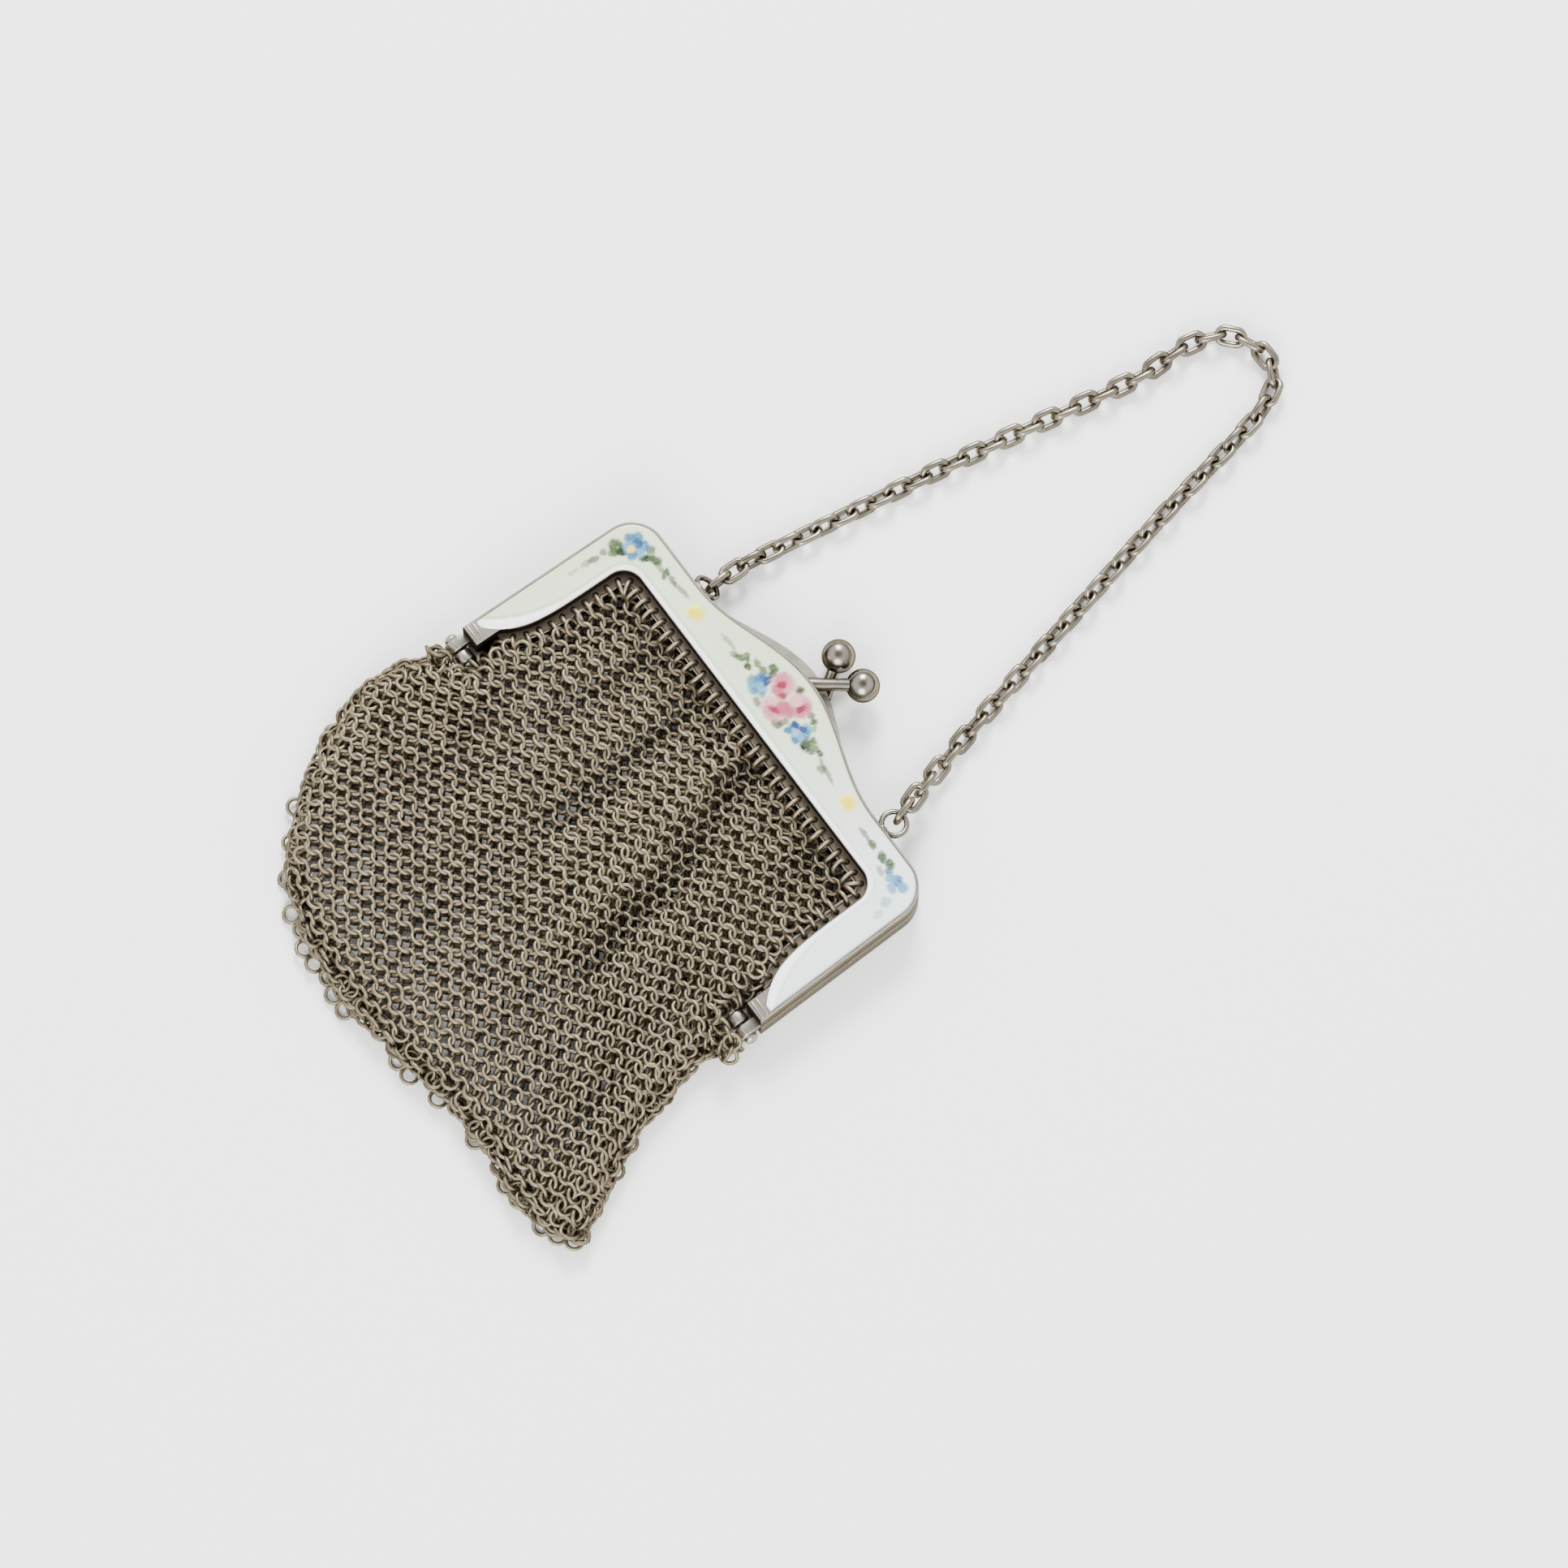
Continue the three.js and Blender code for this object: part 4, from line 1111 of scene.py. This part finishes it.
class PURSE_OT_enamel(bpy.types.Operator):
    """Builds the enamel band, flat in the middle and domed along its margins, and paints its garland."""

    bl_idname = "purse.enamel"
    bl_label = "Painted enamel"

    def execute(self, context):
        enamel = settings("purse_enamel")
        width, height = enamel.dome_width / MM, enamel.dome_height / MM
        rungs = enamel_rungs()
        lows = FRONT_FACE - 0.2
        bm = bmesh.new()
        layer = bm.verts.layers.float_color.new("paint")
        bmesh.ops.create_grid(bm, x_segments=len(rungs) - 1, y_segments=ACROSS, size=1)
        ground = {}
        for vert in bm.verts:
            i = round((vert.co.x + 1) / 2 * (len(rungs) - 1))
            j = round((vert.co.y + 1) / 2 * ACROSS)
            outer, inner, up = rungs[i]
            a, b = Vector(outer), Vector(inner)
            span = (b - a).length
            dome = min(width if j > ACROSS / 2 else width / 2, span * 0.45)
            step = min(j, ACROSS - j)
            if step <= DOME_STEPS:
                turn = math.pi / 2 * step / DOME_STEPS
                near, rise = dome * (1 - math.cos(turn)), math.sin(turn)
            else:
                near = dome + (span / 2 - dome) * (step - DOME_STEPS) / (ACROSS / 2 - DOME_STEPS)
                rise = 1
            from_outer = near if j <= ACROSS / 2 else span - near
            rise *= math.sqrt(1 - (1 - min(1, up / 1.2)) ** 2)
            spot = a.lerp(b, from_outer / span)
            vert.co = (spot.x, spot.y, lows + (FRONT_FACE + height - lows) * rise)
            # Ground colour with the painted highlight and shade of the margins.
            ground[vert] = ground_colour(spot.x, span - from_outer, from_outer, up)
        top = list(bm.verts)
        colours = painted(np.array([v.co.xy[:] for v in top]), np.array([ground[v][:] for v in top]))
        for vert, colour in zip(top, colours):
            vert[layer] = (*colour, 1)
        rim = [edge for edge in bm.edges if edge.is_boundary]
        lowered = bmesh.ops.extrude_edge_only(bm, edges=rim)["geom"]
        for vert in [v for v in lowered if isinstance(v, bmesh.types.BMVert)]:
            vert.co.z = FRONT_FACE - RECESS_DEPTH + 0.02
        bmesh.ops.triangle_fill(bm, use_beauty=True, edges=[e for e in bm.edges if e.is_boundary])
        finished("enamel_band", bm, [painted_enamel()], ("front_enamel",), 60)
        return {"FINISHED"}


def painted(points, colours):
    """Colours of the points once every touch of paint is laid on them, in order."""
    softness = settings("purse_enamel").softness
    waver = np.array([noise.noise_vector(Vector((x * 1.7, y * 1.7, 0)))[:2] for x, y in points])
    stroke = np.array([noise.noise(Vector((x * 3.1, y * 3.1, 4))) for x, y in points])
    brush = points + 0.22 * waver
    for x, y, long, short, angle, paint, strength in GARLAND:
        away = brush - (x, y)
        turn = math.radians(angle)
        u = (away[:, 0] * math.cos(turn) + away[:, 1] * math.sin(turn)) / (long + SPREAD)
        v = (away[:, 1] * math.cos(turn) - away[:, 0] * math.sin(turn)) / (short + SPREAD)
        far = np.hypot(u, v)
        cover = np.clip((1.1 - far) / softness, 0, 1)
        cover = cover**2 * (3 - 2 * cover) * strength * np.clip(0.95 + 0.3 * stroke, 0, 1)
        colours = colours * (1 - cover[:, None]) + np.array(linear(PAINTS[paint])) * cover[:, None]
    return colours


# ---------------------------------------------------------------- ring mesh


def fold_depth(xs, ys):
    """How far the folds and the dip at the mouth lower the cloth at places in millimetres."""
    depth = MOUTH_DIP * np.exp(-(((ys - MOUTH_TOP) / MOUTH_REACH) ** 2)) + 0 * xs
    for fold in FOLDS:
        path = fold["path"]
        middle = np.interp(-ys, [-y for _, y in path], [x for x, _ in path])
        fade = np.interp(-ys, [-path[0][1] - 3, -path[0][1] + 3, -path[-1][1] - 5, -path[-1][1] + 4], [0.5, 1, 1, 0])
        depth = depth + fold["depth"] * fade * np.exp(-(((xs - middle) / fold["width"]) ** 2))
    return depth


class Drape:
    """The bag's front as heights on a grid, with distances measured along the cloth."""

    def __init__(self):
        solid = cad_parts["mesh_bag"].data
        tree = BVHTree.FromPolygons([v.co for v in solid.vertices], [p.vertices for p in solid.polygons])
        low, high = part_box("mesh_bag")
        self.x0, self.y0 = low.x / MM - 1, high.y / MM + 1
        columns = int((high.x - low.x) / MM / SAMPLE) + 5
        rows = int((high.y - low.y) / MM / SAMPLE) + 5
        self.heights = np.full((rows, columns), np.nan)
        for row in range(rows):
            for column in range(columns):
                start = Vector((self.x0 + column * SAMPLE, self.y0 - row * SAMPLE, 20)) * MM
                hit = tree.ray_cast(start, Vector((0, 0, -1)))[0]
                if hit is not None:
                    self.heights[row, column] = hit.z / MM
        self.inside = ~np.isnan(self.heights)
        filled = np.where(self.inside, self.heights, 0)
        weight = self.inside.astype(float)
        for _ in range(6):
            total, share = np.zeros_like(filled), np.zeros_like(filled)
            for shift in (-1, 0, 1):
                total += np.roll(filled * weight, shift, 0)
                share += np.roll(weight, shift, 0)
            filled = np.where(self.inside, total / np.maximum(share, 1), 0)
        total, share = np.zeros_like(filled), np.zeros_like(filled)
        for shift in (-1, 0, 1):
            total += np.roll(filled * weight, shift, 1)
            share += np.roll(weight, shift, 1)
        ys = (self.y0 - np.arange(rows) * SAMPLE)[:, None]
        xs = (self.x0 + np.arange(columns) * SAMPLE)[None, :]
        # The depth also sets the painted shade of the rings in the folds.
        self.depth = fold_depth(xs, ys)
        smooth = np.where(self.inside, total / np.maximum(share, 1) - self.depth, np.nan)
        self.heights = smooth
        steps = np.nan_to_num(np.diff(smooth, axis=1))
        run = np.cumsum(np.hypot(SAMPLE, steps), axis=1)
        self.across = np.hstack([np.zeros((rows, 1)), run])
        middle = round(-self.x0 / SAMPLE)
        self.across -= self.across[:, middle : middle + 1]
        drops = np.nan_to_num(np.diff(smooth, axis=0))
        self.down = np.vstack([np.zeros((1, columns)), np.cumsum(np.hypot(SAMPLE, drops), axis=0)])

    def at(self, table, x, y):
        """A table's value at a place in millimetres."""
        column = min(max((x - self.x0) / SAMPLE, 0), table.shape[1] - 1.001)
        row = min(max((self.y0 - y) / SAMPLE, 0), table.shape[0] - 1.001)
        c, r = int(column), int(row)
        u, v = column - c, row - r
        top = table[r, c] * (1 - u) + table[r, c + 1] * u
        return top * (1 - v) + (table[r + 1, c] * (1 - u) + table[r + 1, c + 1] * u) * v

    def holds(self, x, y, margin):
        """True if a place and its surroundings lie on the bag."""
        spots = ((0, 0), (margin, 0), (-margin, 0), (0, margin), (0, -margin))
        return all(not np.isnan(self.at(self.heights, x + dx, y + dy)) for dx, dy in spots)

    def place(self, across, down):
        """The spot at given distances along the cloth."""
        x, y = across, self.y0 - down
        for _ in range(14):
            x += 0.7 * (across - self.at(self.across, x, y))
            y -= 0.7 * (down - self.at(self.down, x, y))
        return x, y

    def normal(self, x, y):
        """Direction away from the cloth at a spot."""
        reach = SAMPLE
        z = [self.at(self.heights, x + dx, y + dy) for dx, dy in ((reach, 0), (-reach, 0), (0, reach), (0, -reach))]
        slopes = [(z[0] - z[1]) / (2 * reach), (z[2] - z[3]) / (2 * reach)]
        slopes = [0 if math.isnan(s) else max(-2.0, min(2.0, s)) for s in slopes]
        return Vector((-slopes[0], -slopes[1], 1)).normalized()


def ring_matrix(centre, along, normal, lean, spin=0.0):
    """Place of a ring that stands up from the cloth by lean, about the line along its row."""
    along = (along - normal * along.dot(normal)).normalized()
    basis = Matrix((along, normal.cross(along), normal)).transposed().to_4x4()
    turn = Matrix.Rotation(lean, 4, "X") @ Matrix.Rotation(spin, 4, "Z")
    return Matrix.Translation(centre) @ basis @ turn


def woven_places(drape, rings, front):
    """Places of the rings of one side of the bag, row by row, from the mouth down."""
    pitch, row_pitch = rings.pitch / MM, rings.row_pitch / MM
    depth = (rings.diameter - rings.wire) / 2 / MM * math.sin(rings.lean) + rings.wire / 2 / MM
    chance = random.Random(11 if front else 23)
    places = []
    for row in range(int(80 / row_pitch)):
        lean = rings.lean if row % 2 else -rings.lean
        offset = 0.5 if row % 2 else 0.0
        for column in range(-20, 21):
            across = (column + offset) * pitch
            down = FIRST_ROW + row * row_pitch
            droop = ROW_DROOP * max(0, across) ** 2 * min(1, down / 30)
            across *= 1 + FAN * max(0, down - FAN_START)
            across += chance.gauss(0, 0.07)
            down += droop + chance.gauss(0, 0.06)
            if front:
                x, y = drape.place(across, down)
            else:
                x, y = across + pitch / 4, drape.y0 - down - row_pitch / 2
            if not drape.holds(x, y, 0.35 if y > SKIRT_TOP + 4 else 0.75):
                continue
            if front:
                normal = drape.normal(x, y)
                centre = Vector((x, y, drape.at(drape.heights, x, y))) - normal * depth
                # Painted shade: rings are darker where the folds and the dip at the mouth lower the cloth.
                light = 0.75 - 0.3 * drape.at(drape.depth, x, y)
            else:
                normal = Vector((0, 0, -1))
                centre = Vector((x, y, depth + SHEET_FLOOR))
                # Painted shade: the back layer is darker.
                light = 0.5
            tilt = lean + chance.gauss(0, 0.1)
            along = Vector((1, chance.gauss(0, 0.1), chance.gauss(0, 0.1)))
            places.append((ring_matrix(centre, along, normal, tilt, chance.random()), normal, light))
    return places


def outline_path():
    """The bag's outline below the hinges, in order round the hem, in millimetres."""
    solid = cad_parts["mesh_bag"].data
    spots = {(round(v.co.x / MM, 2), round(v.co.y / MM, 2)) for v in solid.vertices if v.co.z < 0.01 * MM}
    spots = [Vector(s) for s in spots if s[1] < SKIRT_TOP - 0.5]
    middle = Vector((4, -48))
    spots.sort(key=lambda s: math.atan2(s.x - middle.x, middle.y - s.y))
    return spots


def spaced(path, pitch):
    """Points, directions and shares of the way at even distances along a path."""
    lengths = [0.0]
    for a, b in zip(path, path[1:]):
        lengths.append(lengths[-1] + (b - a).length)
    count = int(lengths[-1] / pitch)
    found = []
    for i in range(count + 1):
        target = lengths[-1] * i / count
        upper = next(k for k in range(1, len(lengths)) if lengths[k] >= target - 1e-6)
        a, b = path[upper - 1], path[upper]
        share = (target - lengths[upper - 1]) / max(lengths[upper] - lengths[upper - 1], 1e-6)
        found.append((a.lerp(b, share), (b - a).normalized(), i / count))
    return found


class PURSE_OT_bag(bpy.types.Operator):
    """Weaves the ring mesh of the bag's front and back over the form of its solid."""

    bl_idname = "purse.bag"
    bl_label = "Ring-mesh bag"

    def execute(self, context):
        rings = settings("purse_rings")
        drape = Drape()
        metal = shaded_worn_silver("ring_silver", rings.metal, rings.tarnish_and_shade, 0.5)
        template = ring_template(rings.diameter / MM, rings.wire / MM, 12, 5)
        front = woven_places(drape, rings, True)
        ringed("mesh_front", template, front, metal, ("mesh_bag",), 3)
        back = woven_places(drape, rings, False)
        ringed("mesh_back", template, back, metal, (), 4)
        print("rings", len(front), len(back))
        return {"FINISHED"}


class PURSE_OT_edge_rings(bpy.types.Operator):
    """Hangs the rings that close the bag along its sides and hem, some of them loose."""

    bl_idname = "purse.edge_rings"
    bl_label = "Rings along the sides and hem"

    def execute(self, context):
        rings = settings("purse_rings")
        metal = bpy.data.materials["ring_silver"]
        template = ring_template(rings.diameter / MM, rings.wire / MM, 12, 5)
        chance = random.Random(5)
        path = outline_path()
        places = []
        for height, inset, pitch, swing in ((2.7, 1.35, 1.5, 40), (1.6, 1.1, 1.5, 50)):
            for spot, along, _ in spaced(path, pitch):
                inward = Vector((-along.y, along.x, 0))
                centre = Vector((*spot, height)) + inward * (inset + chance.uniform(-0.15, 0.15))
                centre.z = max(centre.z + chance.uniform(-0.2, 0.2), 1.45)
                lean = math.radians(chance.uniform(-swing, swing) + (90 if chance.random() < 0.5 else 30))
                place = ring_matrix(centre, Vector((*along, 0)), -inward, lean, chance.random())
                # Painted light: each ring bright on its upper, outward side, at a set light level.
                places.append((place, -inward * 0.6 + Vector((0, 0, 0.8)), 0.6))
        for spot, along, share in spaced(path, 2.6):
            if not 0.2 < share < 0.76 or chance.random() < 0.4:
                continue
            inward = Vector((-along.y, along.x, 0))
            centre = Vector((*spot, 0.75)) + inward * chance.uniform(-0.45, 0.9)
            lean = math.radians(chance.uniform(-24, 24))
            place = ring_matrix(centre, Vector((*along, 0)), Vector((0, 0, 1)), lean)
            # Painted light: each loose ring bright on its upper side.
            places.append((place, Vector((0, 0, 1)), 0.8))
        for side in (-1, 1):
            for x, y, z in HINGE_RINGS:
                spot = Vector((side * x, y, z)) + Vector([chance.uniform(-0.15, 0.15) for _ in range(3)])
                turn = math.radians(chance.uniform(35, 145))
                along = Vector((chance.uniform(-1, 1), chance.uniform(-0.6, 0.6), 0.2))
                # Painted light: each hinge ring bright on its upper side.
                places.append((ring_matrix(spot, along, Vector((0, 0, 1)), turn), Vector((0, 0, 1)), 0.6))
        ringed("edge_rings", template, places, metal, (), 9)
        return {"FINISHED"}


class PURSE_OT_sewing_rings(bpy.types.Operator):
    """Hangs the rings that join the mesh to the pierced strips of both halves."""

    bl_idname = "purse.sewing_rings"
    bl_label = "Rings along the frame"

    def execute(self, context):
        rings = settings("purse_rings")
        metal = bpy.data.materials["ring_silver"]
        template = ring_template(rings.diameter / MM, rings.wire / MM, 16, 6)
        radius = (rings.diameter - rings.wire) / 2 / MM
        chance = random.Random(31)
        places = []
        for middle in (FRONT_FLANGE + FLANGE_THICK / 2, BACK_FLANGE + FLANGE_THICK / 2):
            for centre, inward in hole_places():
                inward = Vector((*inward, 0))
                along = Vector((-inward.y, inward.x, 0))
                along = (along + inward * chance.gauss(0, 0.16) + Vector((0, 0, chance.gauss(0, 0.12)))).normalized()
                spot = Vector((*centre, middle)) + inward * (radius - 0.1)
                up = Vector((0, 0, 1))
                place = ring_matrix(spot, inward, up, math.pi / 2 + chance.gauss(0, 0.15), chance.random())
                # Painted light: each ring bright on its upper side, at a high light level.
                places.append((place, up, 1.05))
        ringed("sewing_rings", template, places, metal, (), 12)
        return {"FINISHED"}


# ---------------------------------------------------------------- chain


def catmull(points, share):
    """Point on a smooth curve through all the points, with the share of the way along it."""
    spans = len(points) - 1
    place = min(share * spans, spans - 1e-9)
    i = int(place)
    t = place - i
    ends = [points[0] * 2 - points[1], *points, points[-1] * 2 - points[-2]]
    a, b, c, d = ends[i : i + 4]
    return 0.5 * (2 * b + (c - a) * t + (2 * a - 5 * b + 4 * c - d) * t**2 + (3 * b - a - 3 * c + d) * t**3)


def chain_end(loop, following, width, wire):
    """Middle of the end link's near end, on its loop."""
    centre, lean, radius = loop_place(loop)
    pull = Vector((following[0] - centre.x, following[1] - centre.y, 0)).normalized() * radius
    held = centre + Matrix.Rotation(lean, 3, "X") @ pull
    away = Vector((following[0] - held.x, following[1] - held.y, 0)).normalized() * (3 * SETTLING_LINKS)
    away.z = width / 2 - held.z
    return held - away.normalized() * (LOOP_WIRE / 2 + 0.12 + wire / 8)


class PURSE_OT_chain(bpy.types.Operator):
    """Lays the wrist chain link by link along its route."""

    bl_idname = "purse.chain"
    bl_label = "Wrist chain"

    def execute(self, context):
        chain = settings("purse_chain")
        pitch, width, wire = chain.pitch / MM, chain.width / MM, chain.wire / MM
        ends = [
            chain_end(LOOPS[0], CHAIN_ROUTE[0], width, wire),
            chain_end(LOOPS[1], CHAIN_ROUTE[-1], width, wire),
        ]
        route = [ends[0], *[Vector((x, y, width / 2)) for x, y in CHAIN_ROUTE], ends[1]]
        fine = [catmull(route, i / 2000) for i in range(2001)]
        lengths = [0.0]
        for a, b in zip(fine, fine[1:]):
            lengths.append(lengths[-1] + (b - a).length)
        count = 2 * round((lengths[-1] / pitch - 1) / 2) + 1
        joints = []
        for i in range(count + 1):
            target = lengths[-1] * i / count
            upper = next(k for k in range(1, len(lengths)) if lengths[k] >= target - 1e-6)
            share = (target - lengths[upper - 1]) / (lengths[upper] - lengths[upper - 1])
            joints.append(fine[upper - 1].lerp(fine[upper], share))
        half = (width - wire) / 2
        rolls = []
        for i in range(count + 1):
            way = math.sin(math.pi * min(i, count - 1) / (count - 1)) ** TWIST_EASE
            rolls.append(math.radians(90 - CHAIN_TWIST * way))
            rest = wire / 2 + half * max(abs(math.cos(rolls[i])), abs(math.sin(rolls[i])))
            lift = max(0.0, 1 - min(i, count - i) / SETTLING_LINKS)
            joints[i].z = rest + (ends[0 if i < count / 2 else 1].z - rest) * lift
        span = (joints[1] - joints[0]).length
        stretch = (span / 2 - (half - wire / 2)) + 0.04
        template = ring_template(width, wire, 28, 10, stretch)
        places = []
        for i, (a, b) in enumerate(zip(joints, joints[1:])):
            along = (b - a).normalized()
            place = ring_matrix((a + b) / 2, along, Vector((0, 0, 1)), rolls[i] + i * math.pi / 2)
            # Painted light: each link bright on its upper side.
            places.append((place, Vector((0, 0, 1)), 0.75))
        metal = shaded_worn_silver("chain_silver", chain.metal, (0.07, 0.06, 0.045), 0.26)
        ringed("chain_links", template, places, metal, ("wrist_chain",), 6)
        return {"FINISHED"}


# ---------------------------------------------------------------- stage


def add_light(name, place, target, size, energy):
    """A soft square light that faces a target."""
    data = bpy.data.lights.new(name, "AREA")
    data.shape, data.size, data.energy = "SQUARE", size, energy
    lamp = bpy.data.objects.new(name, data)
    lamp.location = place
    lamp.rotation_euler = (Vector(target) - Vector(place)).to_track_quat("-Z", "Y").to_euler()
    bpy.context.scene.collection.objects.link(lamp)


def studio_world():
    """White studio, bright all round and darker straight overhead and towards the floor."""
    world = bpy.data.worlds.new("studio")
    world.use_nodes = True
    upward = node(world, "ShaderNodeSeparateXYZ", {0: node(world, "ShaderNodeTexCoord").outputs["Generated"]})
    rise = ranged(world, upward.outputs["Z"], 0.1, 0.45, 0.12, 2.3)
    fall = ranged(world, upward.outputs["Z"], 0.84, 0.96, 1.0, 0.22)
    strength = node(world, "ShaderNodeMath", {0: rise, 1: fall}, operation="MULTIPLY").outputs[0]
    link(world, strength, world.node_tree.nodes["Background"].inputs["Strength"])
    world.node_tree.nodes["Background"].inputs["Color"].default_value = (1, 1, 1, 1)
    return world


class PURSE_OT_stage(bpy.types.Operator):
    """Sets the pale floor, the soft lights and the camera."""

    bl_idname = "purse.stage"
    bl_label = "Stage"

    def execute(self, context):
        stage = settings("purse_stage")
        bm = bmesh.new()
        bmesh.ops.create_grid(bm, x_segments=1, y_segments=1, size=3)
        mesh = bpy.data.meshes.new("floor")
        bm.to_mesh(mesh)
        bm.free()
        floor = bpy.data.objects.new("floor", mesh)
        context.scene.collection.objects.link(floor)
        paper, base = shader("white_paper")
        base.inputs["Base Color"].default_value = (0.93, 0.93, 0.93, 1)
        base.inputs["Roughness"].default_value = 0.9
        mesh.materials.append(paper)
        context.scene.world = studio_world()
        for name, place, size, energy in LIGHTS:
            add_light(name, place, (0.005, 0, 0), size, energy)
        lens = bpy.data.cameras.new("camera")
        camera = bpy.data.objects.new("camera", lens)
        context.scene.collection.objects.link(camera)
        flat = math.cos(stage.elevation)
        back = Vector(
            (math.sin(stage.azimuth) * flat, -math.cos(stage.azimuth) * flat, math.sin(stage.elevation))
        )
        aim = Vector((9.8, -4.5, 7.5)) * MM
        camera.location = aim + back * stage.distance
        camera.rotation_euler = (-back).to_track_quat("-Z", "Y").to_euler()
        lens.sensor_width = 36
        lens.lens = 36 * stage.distance / stage.width
        lens.clip_end = 10
        context.scene.camera = camera
        return {"FINISHED"}


class PURSE_PT_panel(bpy.types.Panel):
    """Lists the purse's pieces and settings."""

    bl_idname = "PURSE_PT_panel"
    bl_label = "Coin purse"
    bl_space_type = "VIEW_3D"
    bl_region_type = "UI"
    bl_category = "Purse"

    def draw(self, context):
        for group in GROUPS:
            box = self.layout.box()
            for key in GROUPS[group].__annotations__:
                box.prop(getattr(context.scene, group), key)
        for operator in OPERATORS:
            self.layout.operator(operator.bl_idname)


GROUPS = {
    "purse_frame": FrameSettings,
    "purse_enamel": EnamelSettings,
    "purse_rings": RingSettings,
    "purse_chain": ChainSettings,
    "purse_stage": StageSettings,
}
OPERATORS = [
    PURSE_OT_back_frame,
    PURSE_OT_front_frame,
    PURSE_OT_rivets,
    PURSE_OT_enamel,
    PURSE_OT_bag,
    PURSE_OT_edge_rings,
    PURSE_OT_sewing_rings,
    PURSE_OT_chain,
    PURSE_OT_stage,
]


def register():
    """Adds the settings, operators and panel."""
    for group, kind in GROUPS.items():
        bpy.utils.register_class(kind)
        setattr(bpy.types.Scene, group, bpy.props.PointerProperty(type=kind))
    for kind in [*OPERATORS, PURSE_PT_panel]:
        bpy.utils.register_class(kind)


def unregister():
    """Takes them away again."""
    for kind in [PURSE_PT_panel, *reversed(OPERATORS)]:
        bpy.utils.unregister_class(kind)
    for group, kind in GROUPS.items():
        delattr(bpy.types.Scene, group)
        bpy.utils.unregister_class(kind)


def main():
    """Builds every piece in order."""
    register()
    for operator in OPERATORS:
        group, name = operator.bl_idname.split(".")
        getattr(getattr(bpy.ops, group), name)()


if __name__ == "__main__":
    main()
